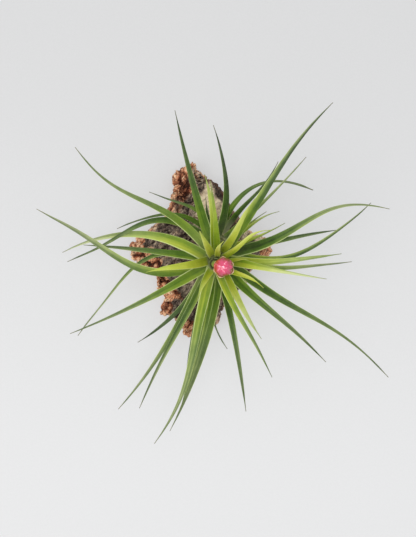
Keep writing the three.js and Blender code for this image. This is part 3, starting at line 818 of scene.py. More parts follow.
@dataclass
class Skin:
    """Points and faces of one mesh, with the values stored on its points.

    Attributes:
        points: One row of three metres for each point.
        faces: Point numbers of each face.
        stored: Values for each point, by name.
    """

    points: Array
    faces: list[tuple[int, ...]]
    stored: dict[str, Array] = field(default_factory=dict)

    def piece(self, name: str) -> bpy.types.Object:
        """Makes a smooth-shaded object.

        Args:
            name: The piece's name.

        Returns:
            The new object, linked to the scene.
        """
        mesh = bpy.data.meshes.new(name)
        mesh.from_pydata(self.points.tolist(), [], self.faces)
        mesh.shade_smooth()
        for key, values in self.stored.items():
            kind, slot = ("FLOAT_VECTOR", "vector") if values.ndim == 2 else ("FLOAT", "value")
            mesh.attributes.new(key, kind, "POINT").data.foreach_set(slot, values.astype(np.float32).ravel())
        mesh.update()
        made = bpy.data.objects.new(name, mesh)
        bpy.context.scene.collection.objects.link(made)
        return made


def join_skins(skins: Sequence[Skin]) -> Skin:
    """Puts several skins into one.

    Args:
        skins: The skins, which all store the same names.

    Returns:
        One skin that holds them all.
    """
    faces: list[tuple[int, ...]] = []
    start = 0
    for skin in skins:
        faces += [tuple(start + corner for corner in face) for face in skin.faces]
        start += len(skin.points)
    stored = {key: np.concatenate([skin.stored[key] for skin in skins]) for key in skins[0].stored}
    return Skin(np.concatenate([skin.points for skin in skins]), faces, stored)


def ring_faces(rings: int, count: int) -> list[tuple[int, ...]]:
    """Faces of a closed skin over rings of points.

    Args:
        rings: How many rings there are.
        count: How many points each ring has.

    Returns:
        Quads between the rings and one cap at each end.
    """
    faces: list[tuple[int, ...]] = []
    for ring in range(rings - 1):
        for side in range(count):
            a = ring * count + side
            b = ring * count + (side + 1) % count
            faces.append((a, b, b + count, a + count))
    faces.append(tuple(range(count - 1, -1, -1)))
    faces.append(tuple((rings - 1) * count + side for side in range(count)))
    return faces


def ringed(points: Array, rings: int, sides: int, **shares: float | Array) -> Skin:
    """A closed skin over rings of points, such as a bud's core or a stalk.

    Args:
        points: The points, ring by ring, in metres.
        rings: How many rings there are.
        sides: How many points each ring has.
        shares: What the finish reads, one value for all points or one for each.

    Returns:
        The skin, with those values and each point's place in millimetres.
    """
    stored = {name: np.zeros(len(points)) + value for name, value in shares.items()}
    return Skin(points, ring_faces(rings, sides), {**stored, "bract_mm": points / MM})


def shell(rows: int, columns: int, inside: Callable, outside: Callable, values: Callable) -> Skin:
    """A thin closed skin over a grid, such as a bract or a sheath.

    Args:
        rows: Steps from the base to the tip.
        columns: Steps from one edge to the other.
        inside: Gives the inner point for a share along and a place across from -1 to 1.
        outside: Gives the outer point in the same way.
        values: Gives the stored values in the same way.

    Returns:
        The skin, with its rim closed.
    """
    wide = columns + 1
    grid = [(row / rows, 2 * column / columns - 1) for row in range(rows + 1) for column in range(wide)]
    shift = len(grid)
    points = [inside(*place) for place in grid] + [outside(*place) for place in grid]
    faces: list[tuple[int, ...]] = []
    for row in range(rows):
        for column in range(columns):
            a = row * wide + column
            faces.append((a, a + wide, a + wide + 1, a + 1))
            faces.append((a + shift, a + 1 + shift, a + wide + 1 + shift, a + wide + shift))
    rim = list(range(columns))
    rim += [row * wide + columns for row in range(rows)]
    rim += [rows * wide + column for column in range(columns, 0, -1)]
    rim += [row * wide for row in range(rows, 0, -1)]
    for index, a in enumerate(rim):
        b = rim[(index + 1) % len(rim)]
        faces.append((a, b, b + shift, a + shift))
    kept = [values(*place) for place in grid] * 2
    stored = {key: np.array([entry[key] for entry in kept]) for key in kept[0]}
    return Skin(np.array(points), faces, stored)


def dress(piece: bpy.types.Object, material: bpy.types.Material, slot: str, *nodes: str) -> bpy.types.Object:
    """Gives a piece its finish and its place in the part.

    Args:
        piece: The piece, already in place.
        material: Its material.
        slot: The name of a material slot; not used.
        nodes: The CAD nodes that it stands for.

    Returns:
        The same piece.
    """
    piece.data.materials.append(material)
    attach(piece, BODY)
    if nodes:
        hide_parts(*nodes)
    LOG.info("%s: %d points, %d faces", piece.name, len(piece.data.vertices), len(piece.data.polygons))
    return piece


def tidy_copy(node: str) -> bmesh.types.BMesh:
    """A copy of a CAD node's mesh with its doubled points joined."""
    mesh = bmesh.new()
    mesh.from_mesh(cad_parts[node].data)
    bmesh.ops.remove_doubles(mesh, verts=mesh.verts, dist=1e-6)
    mesh.verts.index_update()
    mesh.verts.ensure_lookup_table()
    return mesh


def fine_copy(node: str, voxel: float) -> tuple[Array, list[tuple[int, ...]], Array]:
    """An even, fine skin over a CAD node.

    Args:
        node: The node's name.
        voxel: The size of a face, in metres.

    Returns:
        The points, the faces and the direction out of the skin at each point.
    """
    source = tidy_copy(node)
    mesh = bpy.data.meshes.new(node + "_coarse")
    source.to_mesh(mesh)
    source.free()
    helper = bpy.data.objects.new(node + "_coarse", mesh)
    bpy.context.scene.collection.objects.link(helper)
    remesh = helper.modifiers.new("even", "REMESH")
    remesh.mode = "VOXEL"
    remesh.voxel_size = voxel
    graph = bpy.context.evaluated_depsgraph_get()
    fine = bpy.data.meshes.new_from_object(helper.evaluated_get(graph))
    read: list[Array] = []
    for key in ("co", "normal"):
        rows = np.zeros(len(fine.vertices) * 3, np.float32)
        fine.vertices.foreach_get(key, rows)
        read.append(rows.reshape(-1, 3).astype(float))
    faces = [tuple(face.vertices) for face in fine.polygons]
    bpy.data.objects.remove(helper)
    bpy.data.meshes.remove(mesh)
    bpy.data.meshes.remove(fine)
    return read[0], faces, read[1]


def curve_through(knots: Array, rows: Array, wanted: Array) -> Array:
    """A smooth curve through rows of values.

    Args:
        knots: Where each row lies along the curve.
        rows: The values to pass through.
        wanted: Where the curve is read.

    Returns:
        One row of values for each wanted place.
    """
    slopes = np.gradient(rows, knots, axis=0)
    index = np.clip(np.searchsorted(knots, wanted, side="right") - 1, 0, len(knots) - 2)
    span = (knots[index + 1] - knots[index])[:, None]
    t = (wanted - knots[index])[:, None] / span
    start, end = rows[index], rows[index + 1]
    leave, arrive = slopes[index] * span, slopes[index + 1] * span
    return (
        (2 * t**3 - 3 * t**2 + 1) * start
        + (t**3 - 2 * t**2 + t) * leave
        + (3 * t**2 - 2 * t**3) * end
        + (t**3 - t**2) * arrive
    )


# The leaves.


class LeafTier(Enum):
    """The rings of the rosette, from the oldest leaves to the youngest."""

    OUTER = "outer_leaf"
    MIDDLE = "middle_leaf"
    INNER = "inner_leaf"
    HEART = "heart_leaf"


@dataclass(frozen=True)
class LeafLook:
    """How one leaf is coloured.

    Attributes:
        near: Tone of the half by the root, from 0 for dark to 1 for bright.
        far: Tone of the half by the tip.
        tilt: Painted light and shade across the channel: how much brighter the left half is than the middle,
            seen from the root, and the right half darker.
        keel_light_and_shade: How much brighter the middle line is painted: painted light above 0, painted
            shade in the channel below 0.
        left: How pale the left rim is.
        right: How pale the right rim is.
        silver: How much pale sheath shows by the root.
        fade: How grey the far half gets.
    """

    near: float
    far: float
    tilt: float = 0.0
    keel_light_and_shade: float = -0.08
    left: float = 0.6
    right: float = 0.6
    silver: float = 0.1
    fade: float = 0.8


# In each look, the third and fourth numbers are painted light and shade, across the channel and along its
# middle line.
LEAF_LOOKS = {
    "outer_leaf_01": LeafLook(0.26, 0.32),
    "outer_leaf_02": LeafLook(0.22, 0.52, 0.12, 0.0, 0.8, 0.6, 0.1, 0.95),
    "outer_leaf_03": LeafLook(0.28, 0.16, -0.05, 0.0, 0.2, 0.9, 0.95),
    "outer_leaf_04": LeafLook(0.36, 0.52, 0.1),
    "outer_leaf_05": LeafLook(0.46, 0.66, 0.15, 0.0, 0.8, 0.6, 0.1, 0.6),
    "outer_leaf_06": LeafLook(0.20, 0.30, 0.0, 0.1, 0.3, 0.3),
    "outer_leaf_07": LeafLook(0.10, 0.26, 0.1, -0.05, 0.4, 0.2, 0.9),
    "outer_leaf_08": LeafLook(0.20, 0.38, 0.05, 0.15, 0.3, 0.3, 0.1, 0.9),
    "outer_leaf_09": LeafLook(0.0, 0.12, 0.08, 0.0, 0.8, 0.4),
    "outer_leaf_10": LeafLook(0.22, 0.60, 0.1, 0.0, 0.4, 0.5, 0.1, 0.9),
    "outer_leaf_11": LeafLook(0.26, 0.28, -0.1),
    "outer_leaf_12": LeafLook(0.38, 0.44, 0.18, -0.1, 0.6, 0.3, 0.1, 0.6),
    "outer_leaf_13": LeafLook(0.52, 0.56, 0.1, 0.0, 0.6, 0.5, 0.1, 0.95),
    "outer_leaf_14": LeafLook(0.04, 0.08, 0.0, 0.0, 0.3, 0.3),
    "outer_leaf_15": LeafLook(0.32, 0.50, -0.1, 0.0, 0.4, 0.9, 0.5, 0.95),
    "outer_leaf_16": LeafLook(0.34, 0.40, 0.15, -0.1, 0.9, 0.5, 0.3, 0.95),
    "middle_leaf_01": LeafLook(0.24, 0.36, 0.1, -0.05, 0.9, 0.2),
    "middle_leaf_02": LeafLook(0.25, 0.28, 0.05, 0.1, 0.5, 0.4),
    "middle_leaf_03": LeafLook(0.58, 0.72, 0.2, -0.05, 1.0, 0.5, 0.1, 0.9),
    "middle_leaf_04": LeafLook(0.20, 0.30, 0.1, 0.05, 0.4, 0.4),
    "middle_leaf_05": LeafLook(0.42, 0.54, -0.15, 0.0, 0.4, 0.9, 0.1, 0.95),
    "middle_leaf_06": LeafLook(0.26, 0.24, 0.06, -0.08, 0.3, 0.7, 0.1, 0.5),
    "middle_leaf_07": LeafLook(0.20, 0.42, 0.0, -0.1, 0.7, 0.6),
    "middle_leaf_08": LeafLook(0.11, 0.36, 0.05, -0.08, 0.5, 0.8),
    "middle_leaf_09": LeafLook(0.28, 0.40),
    "middle_leaf_10": LeafLook(0.75, 0.60, 0.1, 0.0, 0.6, 0.3, 0.1, 0.3),
    "middle_leaf_11": LeafLook(0.36, 0.46, 0.0, 0.0, 1.0, 0.4, 0.2),
    "middle_leaf_12": LeafLook(0.10, 0.64, -0.06, -0.12, 0.4, 0.9),
    "middle_leaf_13": LeafLook(0.64, 0.64, 0.05, 0.14, 0.7, 0.5, 0.1, 0.3),
    "inner_leaf_01": LeafLook(0.26, 0.36, 0.05, -0.12, 0.7, 0.8),
    "inner_leaf_02": LeafLook(0.70, 0.82, -0.1, 0.0, 0.8, 0.4, 0.1, 0.5),
    "inner_leaf_03": LeafLook(0.30, 0.48, -0.05, -0.08, 0.9, 0.9),
    "inner_leaf_04": LeafLook(0.24, 0.42, 0.0, 0.36, 0.5, 0.9, 0.1, 0.4),
    "inner_leaf_05": LeafLook(0.46, 0.46, -0.06, 0.2, 0.7, 1.0),
    "inner_leaf_06": LeafLook(0.34, 0.44, 0.06, -0.1, 0.7, 0.8),
    "inner_leaf_07": LeafLook(0.47, 0.28, 0.22, -0.06, 0.9, 0.4, 0.1, 0.7),
    "inner_leaf_08": LeafLook(0.50, 0.88, -0.15, 0.14, 0.5, 0.8, 0.1, 0.5),
    "inner_leaf_09": LeafLook(0.48, 0.46, -0.12, -0.05, 0.6, 0.9, 0.1, 0.4),
    "heart_leaf_01": LeafLook(0.52, 0.74, 0.0, -0.05, 0.8, 0.5, 0.0, 0.25),
    "heart_leaf_02": LeafLook(0.42, 0.50, 0.0, 0.0, 0.4, 0.4, 0.0, 0.2),
    "heart_leaf_03": LeafLook(0.62, 0.80, 0.05, 0.0, 0.7, 0.4, 0.0, 0.05),
    "heart_leaf_04": LeafLook(0.74, 0.84, 0.1, 0.0, 0.9, 0.5, 0.0, 0.25),
    "heart_leaf_05": LeafLook(0.66, 0.84, 0.15, 0.0, 0.7, 0.3, 0.0, 0.2),
    "heart_leaf_06": LeafLook(0.58, 0.64, 0.1, 0.0, 0.5, 0.6, 0.0, 0.3),
    "heart_leaf_07": LeafLook(0.56, 0.88, 0.1, 0.0, 0.5, 0.4, 0.0, 0.1),
    "heart_leaf_08": LeafLook(0.72, 0.86, 0.1, 0.0, 0.7, 0.4, 0.0, 0.15),
    "heart_leaf_09": LeafLook(0.72, 0.90, 0.0, 0.0, 0.5, 0.5, 0.0, 0.15),
    "heart_leaf_10": LeafLook(0.66, 0.80, 0.0, 0.0, 0.5, 0.4, 0.0, 0.2),
}


@dataclass
class LeafBlade:
    """One channelled leaf, rebuilt finely along its CAD node.

    Attributes:
        name: The CAD node's name.
        look: How it is coloured.
        seed: A number of its own for small differences.
        step: The length between two rings.
        ring: How many points a ring of the CAD leaf has.
        root_run: How far the blade runs on into the stem.
        tip_length: The length over which the tip draws in.
        tip_width: The share of the width that is left at the tip.
        roll: The most that the blade rolls to one side, in degrees.
        rim_start: Where the pale rim starts by the root and by the tip, as shares
            of half the width.
        fresh_run: Where the yellower base starts to go and where it has gone.
        fading: Where the greyer half starts and where it is full, as shares.
        tip_shade: How much darker the last stretch gets.
        channel_depth: The channel's depth against the CAD leaf's.
        ripple: How much the width comes and goes along the leaf.
        bulge: How the channel curves up to its rims, 1 for straight sides.
        dry_length: How long the dry tip is, as a share of the leaf and a length more.
        sheath_length: The length of the pale part that every leaf has by its root.
        tone_run: Where the tone starts to change along the leaf, and where it has changed.
        painted_light_tilt_bend: How sharply the painted light and shade change across the middle line.
        keel_light_and_shade_width: How wide the painted middle line is, as a share of half the width.
        rim_light: How much brighter the outer parts are.
    """

    name: str
    look: LeafLook
    seed: int
    step: float = 1.25 * MM
    ring: int = 6
    root_run: float = 1.0 * MM
    tip_length: float = 9.0 * MM
    tip_width: float = 0.4
    roll: float = 5.0
    rim_start: tuple[float, float] = (0.66, 0.86)
    fresh_run: tuple[float, float] = (10 * MM, 42 * MM)
    fading: tuple[float, float] = (0.32, 0.88)
    tip_shade: float = 0.14
    channel_depth: float = 1.25
    ripple: float = 0.035
    bulge: float = 1.35
    dry_length: tuple[float, float] = (0.06, 2 * MM)
    sheath_length: float = 4.0 * MM
    tone_run: tuple[float, float] = (0.15, 0.75)
    painted_light_tilt_bend: float = 2.5
    keel_light_and_shade_width: float = 0.2
    rim_light: float = 0.08

    TOP = (0.95, 0.84, 0.66, 0.44, 0.22, 0.0, -0.22, -0.44, -0.66, -0.84, -0.95)
    BELOW = (-0.92, -0.62, -0.3, 0.0, 0.3, 0.62, 0.92)

    def stations(self) -> Array:
        """Reads the CAD leaf's rings.

        Returns:
            A row for each ring from root to tip: the middle's place, half the
            width, the channel's depth and half the thickness.
        """
        mesh = tidy_copy(self.name)
        places = np.array([vert.co for vert in mesh.verts])
        low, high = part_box("stem")
        heart = np.array((low + high) / 2)
        tip = places[int(np.argmax(np.linalg.norm(places - heart, axis=1)))]
        layer = {int(i) for i in np.argsort(np.linalg.norm(places - tip, axis=1))[: self.ring]}
        seen: set[int] = set()
        rings: list[Array] = []
        while len(layer) == self.ring:
            rings.insert(0, places[sorted(layer)])
            seen |= layer
            links = [(i, edge) for i in layer for edge in mesh.verts[i].link_edges]
            layer = {edge.other_vert(mesh.verts[i]).index for i, edge in links} - seen
        rest = places[[i for i in range(len(places)) if i not in seen]]
        mesh.free()
        middles = np.array([ring.mean(0) for ring in rings])
        along = np.gradient(middles, axis=0)
        rows = []
        for ring, middle, ahead in zip(rings, middles, along):
            _, side, up = self.axes(ahead)
            aside = (ring - middle) @ side
            over = (ring - middle) @ up
            order = np.argsort(aside)
            right, inner, left = order[:2], order[2:4], order[4:]
            centre = middle + up * over[inner].mean()
            width = (aside[left].mean() - aside[right].mean()) / 2
            channel = over[np.concatenate([left, right])].mean() - over[inner].mean()
            thick = abs(over[inner[0]] - over[inner[1]]) / 2
            rows.append([*centre, width, channel, thick])
        made = np.array(rows)
        to_root = rest.mean(0) - made[0, :3]
        start = made[0].copy()
        start[:3] += to_root * (1 + self.root_run / np.linalg.norm(to_root))
        return np.vstack([start, made])

    @staticmethod
    def axes(ahead: Array) -> tuple[Array, Array, Array]:
        """The way ahead, the left side and the upper side of a leaf there."""
        ahead = ahead / np.linalg.norm(ahead)
        side = np.array([-ahead[1], ahead[0], 0.0])
        side = side / np.linalg.norm(side)
        return ahead, side, np.cross(ahead, side)

    def build(self) -> Skin:
        """Builds the blade.

        Returns:
            The skin, with its tone, rim, side and place stored on it.
        """
        rows = self.stations()
        knots = np.concatenate([[0.0], np.cumsum(np.linalg.norm(np.diff(rows[:, :3], axis=0), axis=1))])
        length = knots[-1]
        count = max(14, int(length / self.step))
        run = np.linspace(0.0, length, count)
        fine = curve_through(knots, rows, run)
        share = run / length
        taper = soft_step(0.0, self.tip_length, length - run)
        ahead = np.gradient(fine[:, :3], axis=0)
        places = np.array([1.0, *self.TOP, -1.0, *self.BELOW])
        level = np.array([0.0] + [1.0] * len(self.TOP) + [0.0] + [-1.0] * len(self.BELOW))
        points, aside_mm = [], []
        phase = 6.283 * scatter(self.seed, 2)
        for index in range(count):
            _, side, up = self.axes(ahead[index])
            roll = math.radians(self.roll) * math.sin(phase + 5.0 * share[index]) * share[index]
            level_share, lift = math.cos(roll), math.sin(roll)
            side, up = side * level_share + up * lift, up * level_share - side * lift
            middle, (width, channel, thick) = fine[index, :3], fine[index, 3:]
            ripple = 1 + self.ripple * noise.noise(Vector((run[index] / MM * 0.22, self.seed * 3.7, 0.0)))
            width = width * mix(self.tip_width, 1.0, taper[index]) * ripple
            thick = thick * mix(0.5, 1.0, taper[index])
            rounding = np.sqrt(np.clip(1 - np.abs(places) ** 5, 0.0, 1.0))
            half = thick * mix(0.5, 1.0, 1 - places**2) * rounding
            deep = channel * mix(self.channel_depth, 1.0, float(share[index]))
            rise = deep * np.abs(places) ** self.bulge * mix(0.55, 1.0, taper[index])
            offsets = places[:, None] * width * side + (rise + level * half)[:, None] * up
            points.append(middle + offsets)
            aside_mm.append(places * width / MM)
        return Skin(
            np.concatenate(points),
            ring_faces(count, len(places)),
            self.values(share, run, length, places, level, np.array(aside_mm)),
        )

    def values(
        self, share: Array, run: Array, length: float, places: Array, level: Array, aside: Array
    ) -> dict[str, Array]:
        """The values that the finish reads.

        Args:
            share: Each ring's share of the leaf's length.
            run: Each ring's distance from the root.
            length: The leaf's length.
            places: Each point's place across, from 1 on the left to -1.
            level: 1 on the upper side, -1 below and 0 on the rim.
            aside: Each point's distance from the middle, in millimetres.

        Returns:
            The stored values by name.
        """
        look = self.look
        wide = np.ones((len(share), len(places)))
        out = np.abs(places)
        # Painted light and shade: one half of the channel is painted lighter than the other, and the middle
        # line is painted as a highlight on some leaves and as channel shade on others.
        keel_light_and_shade = np.exp(-((places / self.keel_light_and_shade_width) ** 2))
        tone = mix(look.near, look.far, soft_step(*self.tone_run, share))[:, None]
        tone = tone + look.tilt * np.tanh(places * self.painted_light_tilt_bend) + look.keel_light_and_shade * keel_light_and_shade
        tone = tone + self.rim_light * out**3 - self.tip_shade * soft_step(0.72, 1.0, share)[:, None]
        start = mix(*self.rim_start, soft_step(0.0, 0.6, share))[:, None]
        edge = np.where(places > 0, look.left, look.right) * soft_step(start, 0.99, out)
        fade = mix(1.25, 1.0, soft_step(0.0, 14 * MM, run)) * mix(1.0, 0.25, soft_step(0.55, 0.98, share))
        dry_length = self.dry_length[0] * length + self.dry_length[1]
        dry = soft_step(0.0, 1.0, 1 - (length - run) / dry_length)[:, None] * mix(0.1, 1.0, look.fade) * wide
        sheath = look.silver * (1 - soft_step(0.0, 0.30, share))[:, None] * wide
        sheath = np.maximum(sheath, (1 - soft_step(0.0, self.sheath_length, run))[:, None] * 0.6 * wide)
        fresh = (1 - soft_step(*self.fresh_run, run))[:, None] * wide
        faded = look.fade * soft_step(*self.fading, share)[:, None] * wide
        place = np.stack([aside, (run / MM)[:, None] * wide, self.seed * 17.3 * wide], axis=-1)
        return {
            "tone": np.clip(tone, 0.0, 1.0).ravel(),
            "fresh": fresh.ravel(),
            "faded": faded.ravel(),
            "rim": np.clip(edge * fade[:, None], 0.0, 1.0).ravel(),
            "under": np.broadcast_to(level < 0, (len(share), len(places))).astype(float).ravel(),
            "dry": dry.ravel(),
            "sheath": sheath.ravel(),
            "leaf_mm": place.reshape(-1, 3),
        }


@dataclass
class Rosette:
    """All the leaves, each a piece of its own.

    Attributes:
        finishes: The finish of each ring of leaves.
        fresh_runs: Where the yellower base starts to go and where it has gone.
    """

    finishes: dict[LeafTier, LeafFinish] = field(
        default_factory=lambda: {
            LeafTier.OUTER: LeafFinish(
                "Old leaf, dark green and silvery", roughness=0.55, shine=0.2, scales=0.5
            ),
            LeafTier.MIDDLE: LeafFinish("Grown leaf, mid green", roughness=0.5, shine=0.2, scales=0.35),
            LeafTier.INNER: LeafFinish("Young leaf, bright green", roughness=0.48, shine=0.22, scales=0.25),
            LeafTier.HEART: LeafFinish("Heart leaf, yellow green", roughness=0.45, shine=0.25, scales=0.12),
        }
    )
    fresh_runs: dict[LeafTier, tuple[float, float]] = field(
        default_factory=lambda: {
            LeafTier.OUTER: (8 * MM, 34 * MM),
            LeafTier.MIDDLE: (10 * MM, 42 * MM),
            LeafTier.INNER: (12 * MM, 48 * MM),
            LeafTier.HEART: (24 * MM, 70 * MM),
        }
    )

    def build(self, effects: Effects) -> list[bpy.types.Object]:
        """Builds every leaf.

        Args:
            effects: The shared effects.

        Returns:
            The leaves as pieces.
        """
        pieces = []
        materials = {tier: finish.material(effects) for tier, finish in self.finishes.items()}
        for seed, (name, look) in enumerate(LEAF_LOOKS.items()):
            tier = LeafTier(name.rsplit("_", 1)[0])
            blade = LeafBlade(name, look, seed, fresh_run=self.fresh_runs[tier])
            piece = blade.build().piece(name + "_blade")
            pieces.append(dress(piece, materials[tier], tier.value, name))
        return pieces


# The flower head.


@dataclass
class Bud:
    """The rose bud and the bracts that hold it.

    Attributes:
        centre: The middle of the bud's egg shape, in millimetres.
        radius: Half its width.
        height: Its height.
        blunt: How blunt its top is, 1 for a plain egg and less for a flatter one.
        foot_fall: Where the bud starts, in degrees from its top.
        bracts: How many bracts cover it.
        dome: How far each of them swells, in millimetres.
        lump: How uneven its skin is.
        knobs: The swollen bract tips: bearing, degrees from the top and height.
        knob_width: How wide such a tip is, in degrees.
        outer_bracts: The bearing of each bract round it, and how far from the top that one ends.
        outer_gap: How far these stand off the bud.
        outer_thick: How thick they are.
        rows: Steps along a bract.
        columns: Steps across a bract.
        first_turn: The bearing of the lowest bract, in degrees.
        next_turn: How far round the next one stands.
        bases: How far from the top the lowest bract starts, and the highest.
        reaches: How far up the lowest bract runs, and the highest.
        half_turns: Half their widths, in degrees.
        tips_out: How far their tips stand out, in millimetres.
        outer_base: How far from the top the outer bracts start.
        outer_half: Half the width of an outer bract, in millimetres.
        stalk_foot: The middle of the stalk's lower end.
        stalk_radii: The stalk's radius below, how much it gains by its middle, and by its top.
    """

    centre: tuple[float, float, float] = (11.0, -8.5, 61.5)
    radius: float = 3.95
    height: float = 9.8
    blunt: float = 0.9
    foot_fall: float = 150.0
    bracts: int = 15
    dome: float = 0.25
    lump: float = 0.08
    knobs: tuple[tuple[float, float, float], ...] = (
        (167.0, 36.0, 0.75),
        (60.0, 36.0, 0.75),
        (-20.0, 24.0, 0.5),
        (-76.0, 38.0, 0.75),
        (0.0, 52.0, 0.9),
        (112.0, 50.0, 0.5),
        (215.0, 48.0, 0.6),
        (255.0, 64.0, 0.5),
        (-45.0, 60.0, 0.6),
        (35.0, 66.0, 0.5),
        (165.0, 66.0, 0.5),
    )
    knob_width: float = 13.0
    outer_bracts: tuple[tuple[float, float], ...] = (
        (92.0, 116.0),
        (18.0, 114.0),
        (332.0, 101.0),
        (252.0, 106.0),
        (205.0, 116.0),
        (150.0, 124.0),
    )
    outer_gap: float = 1.05
    outer_thick: float = 0.45
    rows: int = 24
    columns: int = 22
    first_turn: float = 40.0
    next_turn: float = 137.5
    bases: tuple[float, float] = (142.0, 40.0)
    reaches: tuple[float, float] = (74.0, 56.0)
    half_turns: tuple[float, float] = (42.0, 34.0)
    tips_out: tuple[float, float] = (0.4, 0.05)
    outer_base: float = 158.0
    outer_half: float = 2.7
    stalk_foot: tuple[float, float] = (7.2, -7.2)
    stalk_radii: tuple[float, float, float] = (1.7, 0.2, 1.6)
    finish: BractFinish = BractFinish(
        "Rose bud bract, glossy", roughness=0.45, coat=1.0, coat_bend=2.0, shine=0.12, relief=0.01 * MM
    )
    outer_finish: BractFinish = BractFinish(
        "Outer bract, cream and rose",
        roughness=0.42,
        coat=0.2,
        body=paint(222, 182, 132),
        shaded=paint(190, 150, 96),
        warm=paint(232, 124, 118),
        rim=paint(246, 222, 176),
        foot=paint(150, 168, 78),
    )

    def place(self, turn: float, fall: float, out: float) -> list[float]:
        """A place on the bud's egg shape.

        Args:
            turn: The bearing round the bud, in degrees.
            fall: How far down from its top, in degrees.
            out: How far out of its skin, in millimetres.

        Returns:
            The place in metres.
        """
        across = (self.radius + out) * math.sin(math.radians(fall))
        level = math.cos(math.radians(fall))
        up = (self.height / 2 + out) * (level**self.blunt if level > 0.3 else level * 0.3 ** (self.blunt - 1))
        return [
            (self.centre[0] + across * math.cos(math.radians(turn))) * MM,
            (self.centre[1] + across * math.sin(math.radians(turn))) * MM,
            (self.centre[2] + up) * MM,
        ]

    @staticmethod
    def bearing(turn: float, fall: float, ahead: float, aside: float) -> tuple[float, float]:
        """Goes over the bud from one place to another.

        Args:
            turn: The bearing of the place to start from, in degrees.
            fall: How far down it is.
            ahead: How far to go up from there.
            aside: How far to go to the left.

        Returns:
            The bearing of the other place and how far down it is.
        """
        turn, fall, ahead, aside = (math.radians(angle) for angle in (turn, fall, ahead, aside))
        out = math.sin(fall - ahead) * math.cos(aside)
        left = math.sin(aside)
        x = out * math.cos(turn) - left * math.sin(turn)
        y = out * math.sin(turn) + left * math.cos(turn)
        up = math.cos(fall - ahead) * math.cos(aside)
        return math.degrees(math.atan2(y, x)), math.degrees(math.atan2(math.hypot(x, y), up))

    def swelling(self, turn: float, fall: float) -> float:
        """How far the bud's knobs stand out at a place, in millimetres."""
        x, y = fall * math.cos(math.radians(turn)), fall * math.sin(math.radians(turn))
        swell = 0.0
        for knob_turn, knob_fall, height in self.knobs:
            dx = x - knob_fall * math.cos(math.radians(knob_turn))
            dy = y - knob_fall * math.sin(math.radians(knob_turn))
            swell += height * math.exp(-(dx * dx + dy * dy) / self.knob_width**2)
        return swell

    def bract(
        self, index: int, turn: float, base: float, reach: float, half_turn: float, tip_out: float
    ) -> Skin:
        """One pointed bract that lies on the bud.

        Args:
            index: Its number.
            turn: Its bearing, in degrees.
            base: How far from the bud's top it starts.
            reach: How far up it runs.
            half_turn: Half its width, in degrees.
            tip_out: How far its tip stands out, in millimetres.

        Returns:
            Its skin.
        """

        def swing(share: float, across: float) -> tuple[float, float]:
            round_off = math.sqrt(max(0.008, 1 - share**2.0))
            return self.bearing(turn, base, reach * share, across * half_turn * round_off)

        def outside(share: float, across: float) -> list[float]:
            dome = (1 - across * across) * math.sin(math.pi * min(1.0, 0.12 + 0.72 * share))
            lump = noise.noise(Vector((across * 1.5 + index * 3.1, share * 3.2, index * 7.7)))
            out = mix(0.05, tip_out, share) + self.dome * dome + self.lump * lump * (1 - across**4)
            return self.place(*swing(share, across), out + self.swelling(*swing(share, across)))

        def inside(share: float, across: float) -> list[float]:
            under = mix(-1.4, tip_out - 0.35, share**3)
            return self.place(*swing(share, across * 0.97), under + self.swelling(*swing(share, across)))

        def values(share: float, across: float) -> dict[str, object]:
            angle, fall = swing(share, across)
            # Painted light: the side towards the window light is painted a warmer coral.
            warm = soft_step(0.1, 0.9, -math.cos(math.radians(angle)) * math.sin(math.radians(fall)))
            return {
                "rim": max(soft_step(0.8, 1.0, abs(across)), soft_step(0.84, 1.0, share)) * 0.2,
                "warm": 0.8 * warm,
                # Painted shade, deeper the further down the bud's side a place lies.
                "dusk": 0.9 * soft_step(18.0, 74.0, fall),
                "foot": 0.0,
                "bract_mm": (across * 3.0, share * 6.0, index * 11.3),
            }

        return shell(self.rows, self.columns, inside, outside, values)

    def bud(self) -> Skin:
        """The whole bud: a core and its overlapping bracts.

        Returns:
            One skin for the bud.
        """
        sides, levels = 28, 14
        falls = [mix(self.foot_fall, 4.0, level / levels) for level in range(levels + 1)]
        points = [self.place(360 * side / sides, fall, -0.35) for fall in falls for side in range(sides)]
        # The core shows only in the gaps between bracts and is painted in shade.
        skins = [ringed(np.array(points), levels + 1, sides, rim=0.0, warm=0.0, dusk=0.8, foot=0.0)]
        for index in range(self.bracts):
            share = index / (self.bracts - 1)
            turn = index * self.next_turn + self.first_turn
            sizes = (mix(*ends, share) for ends in (self.bases, self.reaches, self.half_turns, self.tips_out))
            skins.append(self.bract(index, turn, *sizes))
        return join_skins(skins)

    def outer_bract(self, index: int, turn: float, tip_fall: float) -> Skin:
        """One bract that stands outside the bud."""

        def swing(share: float, across: float) -> tuple[float, float]:
            fall = mix(self.outer_base, tip_fall, share)
            half = self.outer_half * math.sqrt(max(0.01, 1 - share**2))
            circle = self.radius * math.sin(math.radians(fall)) + self.outer_gap
            return turn + across * min(62.0, half * 180 / (math.pi * circle)), fall

        def outside(share: float, across: float) -> list[float]:
            out = self.outer_gap + self.outer_thick * (1 - 0.5 * abs(across) ** 3)
            return self.place(*swing(share, across), out)

        def inside(share: float, across: float) -> list[float]:
            return self.place(*swing(share, across), self.outer_gap)

        def values(share: float, across: float) -> dict[str, object]:
            return {
                "rim": max(soft_step(0.7, 1.0, abs(across)), soft_step(0.8, 1.0, share)),
                "warm": 0.85 * soft_step(0.35, 0.85, share) * (1 - 0.4 * abs(across)),
                "dusk": 0.0,
                "foot": 1 - soft_step(0.15, 0.7, share),
                "bract_mm": (across * 3.0, share * 9.0, index * 7.9 + 50),
            }

        return shell(self.rows, self.columns, inside, outside, values)

